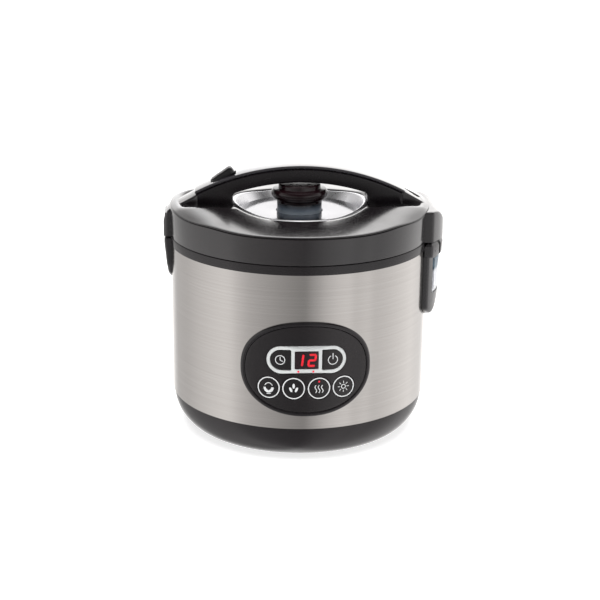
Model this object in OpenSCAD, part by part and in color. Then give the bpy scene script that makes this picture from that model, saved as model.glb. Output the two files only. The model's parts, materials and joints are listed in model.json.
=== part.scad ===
// Electric rice cooker with a hinged lid, a bridge handle and a front control panel.
// Millimetres, +Z up, standing on z = 0. The front faces -Y, the lid turns on a hinge
// at +X and latches at -X. The origin is the centre of the footprint; the pot's axis
// stands pot_axis_x from it, because the hinge housing is deeper than the latch.

/* [Body] */
// Outer radius of the steel body
body_r = 125; // [124.5:0.1:125.4]
// Height at which the steel body starts
body_z0 = 34.6; // [32:0.2:38]
// Height of the steel body's top edge
body_z1 = 183; // [181:0.5:184]
// Outer radius of the collar and of the lid's side wall
collar_r = 125.7; // [125.5:0.1:126]
// Height of the collar's top edge
collar_z1 = 191.5; // [191:0.1:191.6]
// Radius of the base shell where it meets the floor
base_foot_r = 106; // [104:0.5:110]
// Height of the rubber feet
foot_h = 3; // [2.5:0.1:3]

/* [Pot] */
// Outer radius of the cooking pot
pot_r = 105; // [100:0.5:105.5]
// Wall thickness of the cooking pot
pot_wall = 1.8; // [1.2:0.1:2.5]
// Height of the pot's underside
pot_z0 = 50; // [49.9:0.1:50.1]

/* [Lid] */
// Height of the parting line between the lid's side wall and its cover
cover_z = 217.4; // [217:0.1:218]
// Height of the saddle on the pot axis line, front and back
saddle_low = 216.2; // [215.8:0.1:217]
// Rise of the saddle towards the hinge and the latch
saddle_rise = 8.3; // [6:0.1:9]
// Radius of the round recess in the lid
recess_r = 66; // [65.5:0.1:67]
// Height of the polished disc
disc_z = 211; // [210.8:0.1:211.2]

/* [Handle] */
// Width of the handle
handle_w = 28; // [24:1:32]
// Height of the handle's top
handle_top = 259; // [257:0.5:261]
// Radius of the handle's arch
arch_r = 220; // [216:1:224]
// Height of the handle's section
handle_t = 16.5; // [15:0.5:17]

/* [Control panel] */
// Half width of the panel, measured straight across
panel_half_w = 60.1; // [58:0.1:62]
// Height of the widest line of the panel
panel_mid_z = 97; // [96:0.5:98]
// Panel height above that line
panel_up = 42.4; // [41:0.1:44]
// Panel height below that line
panel_down = 49.3; // [48:0.1:50]
// Travel of the panel's buttons
button_travel = 0.8; // [0.4:0.1:0.9]

/* [Hinge] */
// Distance of the hinge pin from the pot axis
pin_x = 128; // [127.8:0.1:128.2]
// Height of the hinge pin
pin_z = 181; // [180.8:0.1:181.2]
// Radius of the hinge pin
pin_r = 2; // [1.5:0.1:2.2]

/* [Hidden] */

$fn = 96;
eps = 0.01;
pot_axis_x = -4.85;
steel_t = 0.7;
shell_t = 2.5;

// Panel layers, as radii about the pot axis
panel_back_r = 125.05;
panel_front_r = 126.8;
bezel_front_r = 127.5;
frame_front_r = 127.1;
bezel_w = 4;

// Display: a pill-shaped frame round two D-shaped buttons and a window
pill_z = 103;
pill_half_w = 36.5;
pill_half_h = 13.2;
pill_line = 3.3;
window_half_w = 11;
window_half_h = 8.7;
d_inner_x = 14.4;
d_half_h = 9.6;
clear = 0.3;

// Round buttons under the display, by angle about the pot axis
round_z = 75.5;
round_r = 10.9;
round_angles = [-15.8, -5.3, 5.3, 15.8];
d_angle = 10.8;
board_y = 111.6;
switch_h = 1.5;

// Lid hinge housing: a D in plan, flat cheeks and a bulged outer face
cheek_y = 45;
cheek_x = 125;
hinge_out = 141.4;
hinge_low_out = 138.2;
bulge_r = (cheek_y * cheek_y + pow(hinge_out - cheek_x, 2)) / (2 * (hinge_out - cheek_x));
seam_z = 190;
seam_gap = 0.6;
arm_y = [-30, 30];
arm_w = 4;
lid_z0 = collar_z1 + 0.4;
step_z = 175.5;
ramp_z = cover_z + 1.6;
leg_z0 = cover_z + 1;
pocket_z0 = 137;
pocket_z1 = 165;
pocket_x = 127;
hinge_notch_x = 118;

// Latch at -X
latch_half_w = 16;
latch_out = 131.7;
latch_wall = 1;
hook_pivot = [-128.6, 208];
hook_w = 10;
ramp_x = 102.2;

// Heights inside the body
liner_z0 = 36;
flange_z = 188.3;
plate_z0 = 42;
sensor_z0 = 43;
led_h = 0.25;
screw_circle = 92;
lid_screw_r = 117;
inlet_z = 58;

// Steam valve
valve_r = 21.8;
valve_cap_r = 27.3;
valve_stem_r = 14;

// Release button on the handle
press_tilt = 36;
press_at = [-74, 246.4];
press_travel = 3;

module about_axis() {
    translate([pot_axis_x, 0, 0]) children();
}

module tube(r_out, r_in, z0, z1) {
    translate([0, 0, z0]) difference() {
        cylinder(r = r_out, h = z1 - z0);
        translate([0, 0, -1]) cylinder(r = r_in, h = z1 - z0 + 2);
    }
}

// An outline drawn in X and Z, extruded along Y from y0 to y1
module from_side(y0, y1) {
    translate([0, y1, 0]) rotate([90, 0, 0]) linear_extrude(y1 - y0) children();
}

// An outline drawn in Y and Z, extruded along X from x0 to x1
module from_front(x0, x1) {
    translate([x0, 0, 0]) rotate([90, 0, 90]) linear_extrude(x1 - x0) children();
}

// ---------------------------------------------------------------- base and body

module rubber_feet() {
    color("#1a1a1c") about_axis()
        for (a = [45 : 90 : 315]) rotate(a) translate([88, 0, 0]) cylinder(r = 9, h = foot_h);
}

module base_plate() {
    color("#2b2a2d") about_axis() difference() {
        translate([0, 0, foot_h]) cylinder(r = 99.6, h = 2.5);
        for (i = [-3 : 3]) translate([i * 12 - 2, -26, 0]) cube([4, 52, 10]);
        for (a = [0 : 90 : 270]) rotate(a) translate([screw_circle, 0, 0]) cylinder(r = 2, h = 10);
    }
}

module base_screws() {
    color("#b8b8bb") about_axis()
        for (a = [0 : 90 : 270]) rotate(a) translate([screw_circle, 0, 0]) {
            translate([0, 0, 1.4]) cylinder(r = 3.6, h = foot_h - 1.4);
            translate([0, 0, foot_h]) cylinder(r = 1.9, h = 9);
        }
}

// Outer radius of the base shell at height z: a bulged bowl
function base_r(z) = base_foot_r
    + (body_r - 1.1 - base_foot_r) * sin(90 * pow((z - 2) / (body_z0 - 2), 0.7));

module base_shell() {
    heights = [2, 3, 5, 8, 12, 17, 23, 29, body_z0];
    outer = [for (z = heights) [base_r(z), z]];
    inner = [for (i = [len(heights) - 1 : -1 : 3]) [base_r(heights[i]) - shell_t, heights[i]]];
    ledge = [[104, 7.5], [86, 7.5], [86, foot_h + 2.5], [100, foot_h + 2.5], [100, 2]];
    color("#2c292d") about_axis() difference() {
        union() {
            rotate_extrude() polygon(concat(outer, inner, ledge));
            for (a = [0 : 90 : 270]) rotate(a) translate([screw_circle, 0, 7.5 - eps]) cylinder(r = 5, h = 6);
        }
        for (a = [0 : 90 : 270]) rotate(a) translate([screw_circle, 0, 0]) cylinder(r = 2, h = 20);
    }
}

module body_shell() {
    color("#cfcac4") about_axis() difference() {
        tube(body_r, body_r - steel_t, body_z0, body_z1);
        from_side(-140, -90) panel_outline(-2);
        translate([-24.2, 90, inlet_z - 15.2]) cube([48.4, 50, 30.4]);
    }
}

module rim_collar() {
    color("#2c292d") about_axis() rotate_extrude() polygon([
        [107, body_z1], [122, body_z1], [122, body_z1 - 6], [body_r - 1, body_z1 - 6],
        [body_r - 1, body_z1], [collar_r, body_z1], [collar_r, collar_z1],
        [112, collar_z1], [112, flange_z - 0.8], [107, flange_z - 0.8]]);
}

module inner_liner() {
    color("#b9bbbd") about_axis() rotate_extrude() polygon([
        [8.5, liner_z0], [96, liner_z0], [103, liner_z0 + 3], [106.9, liner_z0 + 11],
        [106.9, flange_z - 0.8], [111.6, flange_z - 0.8], [111.6, flange_z],
        [106.1, flange_z], [106.1, liner_z0 + 11.5], [102.4, liner_z0 + 3.7],
        [95.7, liner_z0 + 0.8], [8.5, liner_z0 + 0.8]]);
}

module keep_warm_heater() {
    color("#9a8f80") about_axis() difference() {
        tube(108.6, 107, 138, 166);
        rotate(180) translate([100, -6, 130]) cube([20, 12, 50]);
    }
}

module heating_plate() {
    color("#a5a7aa") about_axis() {
        rotate_extrude() polygon([[18, plate_z0], [78, plate_z0], [80, plate_z0 + 2],
            [80, pot_z0 - 2], [78, pot_z0], [18, pot_z0]]);
        for (a = [30 : 120 : 270]) rotate(a) translate([62, 0, liner_z0 + 0.8])
            cylinder(r = 5, h = plate_z0 - liner_z0 - 0.8 + eps);
    }
}

module sensor_guide() {
    color("#8f9193") about_axis() {
        tube(8.4, 5.3, 22, liner_z0 + 0.8);
        tube(14, 8.3, liner_z0 - 2, liner_z0);
    }
}

module thermostat_sensor() {
    color("#c4c6c8") about_axis() {
        translate([0, 0, sensor_z0]) cylinder(r = 16.5, h = pot_z0 - clear - sensor_z0);
        translate([0, 0, 18]) cylinder(r = 5, h = sensor_z0 - 18 + eps);
    }
}

// A round wire wound about Z: rings of sides points along the helix
module coil(r, wire_r, z0, z1, turns, sides = 6, steps = 14) {
    n = turns * steps;
    points = [for (i = [0 : n], k = [0 : sides - 1])
        let (a = 360 * i / steps, b = 360 * k / sides, q = r + wire_r * cos(b))
        [q * cos(a), q * sin(a), z0 + wire_r + (z1 - z0 - 2 * wire_r) * i / n + wire_r * sin(b)]];
    walls = [for (i = [0 : n - 1], k = [0 : sides - 1]) let (m = (k + 1) % sides)
        [i * sides + k, i * sides + m, (i + 1) * sides + m, (i + 1) * sides + k]];
    ends = [[for (k = [sides - 1 : -1 : 0]) k], [for (k = [0 : sides - 1]) n * sides + k]];
    polyhedron(points, [for (f = concat(walls, ends)) [for (i = [len(f) - 1 : -1 : 0]) f[i]]]);
}

module thermostat_spring() {
    color("#d0d0d2") about_axis() coil(11.5, 0.6, liner_z0 + 0.8, sensor_z0, 3);
}

module thermal_fuse() {
    color("#d8d2c4") about_axis() {
        translate([-10, -45, liner_z0 - 4]) rotate([0, 90, 0]) cylinder(r = 2.4, h = 20);
        for (s = [-1, 1]) translate([s * 6 - 1, -48, liner_z0 - 4]) cube([2, 6, 4]);
    }
}

// Half section of a cup: outer radius r, rounded bottom corner rc, from z0 to z1
module cup_half(r, rc, z0, z1) {
    translate([0, z0]) square([r - rc, rc]);
    translate([r - rc, z0 + rc]) intersection() {
        circle(r = rc);
        translate([0, -rc]) square(rc);
    }
    translate([0, z0 + rc]) square([r, z1 - z0 - rc]);
}

module cooking_pot() {
    color("#55565a") about_axis() rotate_extrude() difference() {
        union() {
            cup_half(pot_r, 22, pot_z0, flange_z + 1.5);
            translate([pot_r - 1, flange_z]) square([111.4 - pot_r + 1, 1.5]);
        }
        cup_half(pot_r - pot_wall, 22 - pot_wall, pot_z0 + pot_wall, flange_z + 3);
    }
}

module power_board() {
    color("#3f6b4a") about_axis() translate([-36, 22, 14]) {
        cube([72, 50, 1.6]);
        translate([6, 8, 1.6]) cube([26, 22, 17]);
        translate([40, 10, 1.6]) cube([18, 15, 15]);
        translate([60, 34, 1.6]) cylinder(r = 5, h = 14);
        for (x = [4, 68], y = [4, 46]) translate([x, y, -6.5]) cylinder(r = 2.5, h = 6.5);
    }
}

// ---------------------------------------------------------------- power inlet, at the back

// Inlet outline: a rectangle with its two lower corners cut off
module inlet_outline(half_w, half_h, cut) {
    polygon([[-half_w, half_h], [-half_w, cut - half_h], [cut - half_w, -half_h],
        [half_w - cut, -half_h], [half_w, cut - half_h], [half_w, half_h]]);
}

module power_inlet() {
    color("#1c1c1e") about_axis() translate([0, 0, inlet_z]) difference() {
        union() {
            translate([-24, 120.5, -15]) cube([48, 7, 30]);
            translate([-16, 107.6, -11.5]) cube([32, 14, 23]);
        }
        from_side(110, 130) inlet_outline(12.2, 8.2, 4);
    }
}

module inlet_pins() {
    color("#c9b26a") about_axis() translate([0, 0, inlet_z]) {
        for (s = [-1, 1]) translate([s * 7 - 1, 107, -2 - 2]) cube([2, 16, 4]);
        translate([-1, 107, 0.5]) cube([2, 16, 4]);
    }
}

// ---------------------------------------------------------------- hinge side, at +X

// Plan of the hinge housings, reaching out to x = out, shrunk by inset on the outside
module d_plan(out, inset = 0) {
    difference() {
        intersection() {
            translate([out - bulge_r, 0]) circle(r = bulge_r - inset, $fn = 180);
            translate([90, inset - cheek_y]) square([60, 2 * (cheek_y - inset)]);
        }
        circle(r = collar_r + 0.1, $fn = 180);
    }
}

module hinge_housing() {
    color("#2c292d") about_axis() difference() {
        union() {
            // The top steps in under the lid, whose outer wall swings round it
            translate([0, 0, step_z]) linear_extrude(185.4 - step_z) d_plan(hinge_out);
            translate([0, 0, 185.4 - eps]) linear_extrude(2.3) d_plan(hinge_out, 1.3);
            translate([0, 0, 187.6]) linear_extrude(seam_z - 187.6) d_plan(hinge_out, 2.6);
            intersection() {
                translate([0, 0, 100]) linear_extrude(step_z - 100) d_plan(hinge_low_out);
                from_side(-60, 60) polygon([[110, step_z], [hinge_low_out + 1, step_z],
                    [hinge_low_out + 1, pocket_z0], [131, 116.5], [128.5, 112], [125, 110],
                    [110, 110]]);
            }
        }
        // Space in which the lid's hinge arms turn, and the slots they swing out through
        translate([0, 0, 168]) linear_extrude(40) d_plan(hinge_out, 4.6);
        for (y = arm_y) translate([120, y - arm_w / 2 - 0.6, step_z + 0.2])
            cube([30, arm_w + 1.2, 20]);
        // Pocket of the condensate collector
        translate([pocket_x, -60, pocket_z0]) cube([40, 120, pocket_z1 - pocket_z0]);
        // Bore of the hinge pin
        translate([pin_x, 60, pin_z]) rotate([90, 0, 0]) cylinder(r = pin_r, h = 120);
    }
}

module hinge_pin() {
    color("#b8b8bb") about_axis()
        translate([pin_x, 39.5, pin_z]) rotate([90, 0, 0]) cylinder(r = pin_r, h = 79);
}

module hinge_spring() {
    color("#d0d0d2") about_axis()
        translate([pin_x, 0, pin_z]) rotate([90, 0, 0]) coil(pin_r + 0.5, 0.35, -14, 14, 20);
}

module condensate_collector() {
    wall = 1.6;
    color("#c8d6dc", 0.6) about_axis() difference() {
        translate([0, 0, pocket_z0 + clear]) linear_extrude(pocket_z1 - pocket_z0 - 2 * clear)
            intersection() {
                d_plan(hinge_low_out);
                translate([pocket_x + clear, -60]) square([40, 120]);
            }
        translate([0, 0, pocket_z0 + wall + 1]) linear_extrude(40) intersection() {
            d_plan(hinge_low_out, wall);
            translate([pocket_x + clear + wall, -60]) square([40, 120]);
        }
    }
}

// The lid's half of the hinge housing, with two arms down to the pin
module hinge_cover() {
    ramp = [[ramp_x, 215], [ramp_x, 233.4], [109, 229], [117, 224], [129, 219], [137, 214],
        [140, 209], [hinge_out, 204], [hinge_out, seam_z + seam_gap],
        [collar_r, seam_z + seam_gap], [collar_r, 215]];
    color("#2f2c30") about_axis() {
        difference() {
            intersection() {
                translate([0, 0, seam_z + seam_gap]) linear_extrude(60) d_plan(hinge_out);
                from_side(-60, 60) polygon(ramp);
            }
            translate([0, 0, 180]) linear_extrude(24) d_plan(hinge_out, shell_t);
        }
        difference() {
            from_side(-handle_w / 2, handle_w / 2) polygon(ramp);
            translate([0, 0, seam_z]) cylinder(r = collar_r + 0.2, h = ramp_z - seam_z, $fn = 180);
            translate([collar_r, -30, 180]) cube([30, 60, 24]);
        }
        for (y = arm_y) difference() {
            union() {
                translate([pin_x, y + arm_w / 2, pin_z]) rotate([90, 0, 0])
                    cylinder(r = 4.6, h = arm_w);
                translate([pin_x - 1.5, y - arm_w / 2, pin_z]) cube([6, arm_w, 24]);
            }
            translate([pin_x, y + arm_w, pin_z]) rotate([90, 0, 0])
                cylinder(r = pin_r + 0.05, h = 2 * arm_w);
        }
    }
}

// ---------------------------------------------------------------- latch side, at -X

module latch_housing() {
    color("#2c292d") about_axis() {
        difference() {
            intersection() {
                from_side(-30, 30) polygon([[-120, seam_z], [-latch_out, seam_z],
                    [-latch_out, 182], [-129.6, 162], [-127.4, 150], [-126.6, 148],
                    [-120, 148]]);
                from_front(-140, -120) polygon([[-latch_half_w, seam_z], [-latch_half_w, 163],
                    [-11, 153], [-4, 148], [4, 148], [11, 153], [latch_half_w, 163],
                    [latch_half_w, seam_z]]);
            }
            cylinder(r = collar_r + 0.1, h = 220, $fn = 180);
            // Mouth in which the hook's nose sits
            translate([-latch_out + latch_wall, -6, 179]) cube([20, 12, 20]);
        }
        // Catch over the nose
        difference() {
            translate([-126.8, -6, 186]) cube([4, 12, 1.4]);
            cylinder(r = collar_r + 0.1, h = 220, $fn = 180);
        }
    }
}

module latch_cover() {
    ramp = [[-ramp_x, 215], [-ramp_x, 231], [-113, 226], [-123, 221], [-128, 216],
        [-latch_out, 208], [-latch_out, seam_z + seam_gap], [-120, seam_z + seam_gap],
        [-120, 215]];
    color("#2f2c30") about_axis() difference() {
        from_side(-latch_half_w, latch_half_w) polygon(ramp);
        translate([0, 0, 150]) cylinder(r = collar_r + 0.2, h = ramp_z - 150, $fn = 180);
        // Channel of the latch hook and bore of its pivot
        translate([-latch_out + latch_wall, -6, 180]) cube([20, 12, 34]);
        translate([hook_pivot[0], 8.2, hook_pivot[1]]) rotate([90, 0, 0])
            cylinder(r = 1.25, h = 16.4);
    }
}

module latch_hook() {
    color("#77797d") about_axis() {
        translate([-129.3, -hook_w / 2, 183]) cube([1.3, hook_w, 29]);
        translate([-129.3, -hook_w / 2, 183]) cube([2.2, hook_w, 2]);
        translate([hook_pivot[0], 7.8, hook_pivot[1]]) rotate([90, 0, 0])
            cylinder(r = 1.2, h = 15.6);
    }
}

// ---------------------------------------------------------------- control panel

// Panel outline in X and Z: flat-topped, wider at mid height, grown by grow
module panel_outline(grow = 0) {
    function power(v, n) = sign(v) * pow(abs(v), 2 / n);
    w = panel_half_w + grow;
    polygon([for (a = [0 : 4 : 356]) let (up = sin(a) >= 0)
        [w * power(cos(a), up ? 2.6 : 2.3),
         panel_mid_z + ((up ? panel_up : panel_down) + grow) * power(sin(a), up ? 2.6 : 2.3)]]);
}

module pill(half_w, half_h) {
    translate([-half_w + half_h, pill_z]) circle(r = half_h);
    translate([half_w - half_h, pill_z]) circle(r = half_h);
    translate([-half_w + half_h, pill_z - half_h]) square([2 * (half_w - half_h), 2 * half_h]);
}

// A curved plate: the child outline cut from a ring at the panel's front
module on_panel(r_back, r_front) {
    intersection() {
        from_side(-140, -90) children();
        tube(r_front, r_back, 30, 150, $fn = 180);
    }
}

// D-shaped button outline at side s (-1 left, 1 right), grown by grow
module d_outline(s, grow = 0) {
    intersection() {
        pill(pill_half_w - pill_line + grow, d_half_h + grow);
        translate([s > 0 ? d_inner_x - grow : -60, 60]) square([60 - d_inner_x + grow, 80]);
    }
}

// Where a radial button at this angle meets its switch
function stem_end_r(angle) = (board_y + switch_h + button_travel + 1.1) / cos(angle);

module panel_bezel() {
    color("#232125") about_axis() on_panel(panel_back_r, bezel_front_r) difference() {
        panel_outline();
        panel_outline(-bezel_w);
    }
}

module panel_face() {
    color("#2a272b") about_axis() difference() {
        on_panel(panel_back_r, panel_front_r) difference() {
            panel_outline(-bezel_w - 0.1);
            pill(pill_half_w + 0.1, pill_half_h + 0.1);
        }
        for (a = round_angles) rotate(a) translate([0, -100, round_z]) rotate([90, 0, 0])
            cylinder(r = round_r + clear, h = 40);
    }
}

module display_frame() {
    color("#d9dad9") about_axis() on_panel(panel_back_r, frame_front_r) difference() {
        pill(pill_half_w, pill_half_h);
        for (s = [-1, 1]) d_outline(s, clear);
        translate([-window_half_w, pill_z - window_half_h])
            square([2 * window_half_w, 2 * window_half_h]);
    }
}

module display_window() {
    color("#1a0c10") about_axis() on_panel(panel_back_r + 0.4, panel_front_r - 0.2)
        translate([-window_half_w + 0.1, pill_z - window_half_h + 0.1])
            square([2 * window_half_w - 0.2, 2 * window_half_h - 0.2]);
}

// One seven-segment digit, 11 tall; on lists the lit segments, a to g
module digit(on) {
    w = 2.9;
    h = 2.6;
    ends = [[[-w, 2 * h], [w, 2 * h]], [[w, 2 * h], [w, 0]], [[w, 0], [w, -2 * h]],
        [[-w, -2 * h], [w, -2 * h]], [[-w, -2 * h], [-w, 0]], [[-w, 0], [-w, 2 * h]],
        [[-w, 0], [w, 0]]];
    for (i = on) {
        p = ends[i][0];
        q = ends[i][1];
        across = p[1] == q[1];
        translate([min(p[0], q[0]) + (across ? 0.5 : -0.6), min(p[1], q[1]) + (across ? -0.6 : 0.5)])
            square(across ? [2 * w - 1, 1.2] : [1.2, 2 * h - 1]);
    }
}

module display_digits() {
    color("#e8222e") about_axis() on_panel(panel_front_r - 0.2, panel_front_r) {
        translate([-4.7, pill_z]) digit([1, 2]);
        translate([4.9, pill_z]) digit([0, 1, 6, 4, 3]);
    }
}

module indicator_leds() {
    color("#e03a44") about_axis() {
        for (x = [-7.6, 6.2]) on_panel(frame_front_r, frame_front_r + led_h)
            translate([x, pill_z - 11.5]) circle(r = 0.9, $fn = 24);
    }
}

module display_module() {
    color("#3a3a3d") about_axis()
        translate([-13, -123.6, pill_z - 10]) cube([26, 123.6 - board_y, 20]);
}

module circuit_board() {
    color("#35704a") about_axis() difference() {
        translate([-47, -board_y, 56]) cube([94, 1.6, 72]);
        for (x = [-42, 42], z = [62, 122]) translate([x, -100, z]) rotate([90, 0, 0])
            cylinder(r = 1.6, h = 20);
    }
}

module tact_switches() {
    color("#8d8f92") about_axis() {
        for (a = round_angles) translate([sin(a) * stem_end_r(a) - 3, -board_y - switch_h,
            round_z - 3]) cube([6, switch_h, 6]);
        for (s = [-1, 1]) translate([s * sin(d_angle) * stem_end_r(d_angle) - 3,
            -board_y - switch_h, pill_z - 3]) cube([6, switch_h, 6]);
    }
}

module round_button(i) {
    a = round_angles[i];
    about_axis() rotate(a) intersection() {
        union() {
            translate([0, -123, round_z]) rotate([90, 0, 0]) cylinder(r = round_r, h = 8);
            translate([0, -stem_end_r(a), round_z]) rotate([90, 0, 0]) cylinder(r = 2.4, h = 10);
        }
        cylinder(r = panel_front_r, h = 150, $fn = 180);
    }
}

module d_button(s) {
    about_axis() {
        on_panel(123, panel_front_r) d_outline(s);
        rotate(s * d_angle) translate([0, -stem_end_r(d_angle), pill_z]) rotate([90, 0, 0])
            cylinder(r = 2.4, h = 10);
    }
}

module timer_button() { color("#2a272b") d_button(-1); }
module power_button() { color("#2a272b") d_button(1); }
module white_rice_button() { color("#2a272b") round_button(0); }
module brown_rice_button() { color("#2a272b") round_button(1); }
module steam_button() { color("#2a272b") round_button(2); }
module warm_button() { color("#2a272b") round_button(3); }

// ---------------------------------------------------------------- lid

function ramp01(v, a, b) = let (t = min(1, max(0, (v - a) / (b - a)))) t * t * (3 - 2 * t);

// Height of the lid's saddle: low across the middle, high towards hinge and latch, with
// a channel along X in which the handle stands
function saddle(x, y) = let (r = norm([x, y]), side = ramp01(abs(x), 28, 92))
    saddle_low + 0.8 * ramp01(r, 95, 122) + saddle_rise * side
    - side * 5.2 * pow(max(0, r - 104) / (body_r - 104), 2)
    - 7 * ramp01(abs(x), 58, 74) * (1 - ramp01(abs(y), 20, 40));

module lid_cover() {
    radii = [recess_r, 72, 80, 88, 96, 104, 110, 115, 119, 122, 124.2, 125.5];
    step = 4;
    n = 360 / step;
    m = len(radii);
    function skin(x, y) = max(saddle(x, y), cover_z + 0.8);
    top = [for (r = radii, a = [0 : step : 360 - step])
        [r * cos(a), r * sin(a), skin(r * cos(a), r * sin(a))]];
    low = [for (r = radii, a = [0 : step : 360 - step])
        [r * cos(a), r * sin(a), r > 120 ? cover_z + 0.2
            : skin(r * cos(a), r * sin(a)) - shell_t]];
    function wall(side) = [for (i = [0 : m - 2], k = [0 : n - 1]) let (j = (k + 1) % n,
        p = side + i * n + k, q = side + i * n + j, s = side + (i + 1) * n + j,
        t = side + (i + 1) * n + k) side == 0 ? [p, q, s, t] : [t, s, q, p]];
    function rim(i) = [for (k = [0 : n - 1]) let (j = (k + 1) % n, p = i * n + k, q = i * n + j,
        s = m * n + i * n + j, t = m * n + i * n + k) i == 0 ? [t, s, q, p] : [p, q, s, t]];
    quads = concat(wall(0), wall(m * n), rim(0), rim(m - 1));
    faces = [for (f = quads, h = [0, 1]) h == 0 ? [f[0], f[1], f[2]] : [f[0], f[2], f[3]]];
    color("#2f2c30") about_axis() polyhedron(concat(top, low), faces);
}

module lid_ring() {
    color("#2f2c30") about_axis() difference() {
        rotate_extrude() polygon([[110.5, lid_z0], [collar_r, lid_z0], [collar_r, cover_z],
            [collar_r - shell_t, cover_z], [collar_r - shell_t, lid_z0 + shell_t],
            [110.5, lid_z0 + shell_t]]);
        for (a = [35 : 90 : 305]) rotate(a) translate([lid_screw_r, 0, 0]) {
            cylinder(r = 1.8, h = 230);
            cylinder(r = 3, h = lid_z0 + 1.4);
        }
        // Notch in which the hinge housing's top edge stays clear as the lid turns
        translate([hinge_notch_x, -24, lid_z0 - 1]) cube([20, 48, 9]);
    }
}

module lid_inner_tray() {
    z = lid_z0 + shell_t;
    color("#c9c9ca") about_axis() difference() {
        union() {
            tube(121, 18, z, z + 2);
            for (a = [35 : 90 : 305]) rotate(a) translate([lid_screw_r, 0, z]) cylinder(r = 3.6, h = 9);
        }
        for (a = [35 : 90 : 305]) rotate(a) translate([lid_screw_r, 0, 0]) cylinder(r = 1.3, h = 240);
    }
}

module lid_screws() {
    color("#b8b8bb") about_axis() for (a = [35 : 90 : 305]) rotate(a)
        translate([lid_screw_r, 0, lid_z0 + 0.1]) {
            cylinder(r = 2.6, h = 1.2);
            cylinder(r = 1.25, h = 9);
        }
}

module inner_lid_plate() {
    color("#b9bbbd") about_axis() difference() {
        rotate_extrude() polygon([[16, 187.4], [88, 187.4], [96, 192.6], [109, 192.6],
            [109, 193.6], [95.4, 193.6], [87.4, 188.6], [16, 188.6]]);
        for (a = [0 : 60 : 300]) rotate(a) translate([40, 0, 180]) cylinder(r = 2.2, h = 20);
    }
}

module lid_gasket() {
    color("#d8d8d6") about_axis() rotate_extrude() polygon([[102, 190.2], [109.2, 190.2],
        [109.2, 192.6], [98, 192.6], [99.5, 191.4]]);
}

module center_disc() {
    color("#e4e4e6") about_axis() tube(60, valve_stem_r + 0.4, disc_z - 0.8, disc_z);
}

module disc_trim_ring() {
    color("#d4d4d6") about_axis() rotate_extrude() polygon([[57, disc_z - 2.6],
        [65.9, disc_z - 2.6], [65.9, saddle_low], [64.6, saddle_low + 0.4],
        [60.1, disc_z + 0.3], [60.1, disc_z - 0.8], [57, disc_z - 0.8]]);
}

module valve_seat() {
    color("#e6e6e4") about_axis()
        tube(19, valve_stem_r + 0.1, disc_z - 3.4, disc_z - 0.8);
}

module steam_valve_body() {
    color("#8d9aa5", 0.7) about_axis() difference() {
        union() {
            translate([0, 0, disc_z + 0.1]) cylinder(r = valve_r, h = 10.9);
            translate([0, 0, 191]) cylinder(r = valve_stem_r, h = disc_z - 190);
        }
        translate([0, 0, 190]) cylinder(r = valve_stem_r - 1.8, h = 24);
        translate([0, 0, disc_z + 2]) cylinder(r = valve_r - 1.8, h = 20);
    }
}

module steam_valve_cap() {
    color("#1d1b1e") about_axis() difference() {
        rotate_extrude() polygon([[0, 222], [24.4, 222], [26.6, 225], [valve_cap_r, 228.5],
            [valve_cap_r, 231], [26.2, 233.4], [20.5, 233.9], [20.5, 238.6], [19.3, 239.8],
            [0, 239.8]]);
        for (a = [0 : 45 : 315]) rotate(a) translate([12, 0, 220]) cylinder(r = 2.2, h = 30);
    }
}

// Space around the release button, grown by grow and lengthened along the press
module press_block(grow, deep) {
    translate([press_at[0], 0, press_at[1]]) rotate([0, -press_tilt, 0])
        translate([-12 - grow, -7 - grow, -4.5 - deep])
            cube([24 + 2 * grow, 14 + 2 * grow, 9 + deep]);
}

module arch_band(r_low, r_high) {
    translate([0, handle_top - arch_r]) difference() {
        circle(r = r_high, $fn = 360);
        circle(r = r_low, $fn = 360);
    }
}

module handle_cover() {
    color("#3a383c") about_axis() difference() {
        from_side(-handle_w / 2, handle_w / 2) intersection() {
            arch_band(arch_r - 3, arch_r);
            translate([-101.9, 200]) square([203.8, 80]);
        }
        press_block(0.4, press_travel + 0.6);
    }
}

module handle_grip() {
    color("#2a272b") about_axis() difference() {
        from_side(-handle_w / 2, handle_w / 2) {
            intersection() {
                arch_band(arch_r - handle_t, arch_r - 3);
                translate([-100.6, leg_z0]) square([201.2, 80]);
            }
            for (s = [-1, 1]) intersection() {
                translate([0, handle_top - arch_r]) circle(r = arch_r - 3, $fn = 360);
                translate([s > 0 ? 65 : -94, leg_z0]) square([29, 60]);
            }
        }
        press_block(0.4, press_travel + 0.6);
        for (x = [-80, 80], y = [-7, 7]) translate([x, y, 200]) cylinder(r = 1.55, h = 24);
    }
}

module handle_screws() {
    color("#b8b8bb") about_axis() for (x = [-80, 80], y = [-7, 7]) translate([x, y, 211]) {
        cylinder(r = 3, h = 2);
        cylinder(r = 1.5, h = 12.5);
    }
}

module release_button() {
    color("#232125") about_axis() press_block(0, 0);
}

rubber_feet();
base_plate();
base_screws();
base_shell();
body_shell();
rim_collar();
inner_liner();
keep_warm_heater();
heating_plate();
sensor_guide();
thermostat_spring();
thermostat_sensor();
thermal_fuse();
cooking_pot();
power_board();
power_inlet();
inlet_pins();
hinge_housing();
hinge_pin();
hinge_spring();
latch_housing();
condensate_collector();
panel_bezel();
panel_face();
display_frame();
display_window();
display_digits();
indicator_leds();
display_module();
circuit_board();
tact_switches();
timer_button();
power_button();
white_rice_button();
brown_rice_button();
steam_button();
warm_button();
lid_ring();
lid_cover();
lid_inner_tray();
inner_lid_plate();
lid_gasket();
lid_screws();
hinge_cover();
latch_cover();
latch_hook();
center_disc();
disc_trim_ring();
valve_seat();
steam_valve_body();
steam_valve_cap();
handle_grip();
handle_cover();
handle_screws();
release_button();
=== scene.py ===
import json
import math

import bmesh
import bpy
from mathutils import Matrix, Vector
from mathutils.geometry import delaunay_2d_cdt


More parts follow.
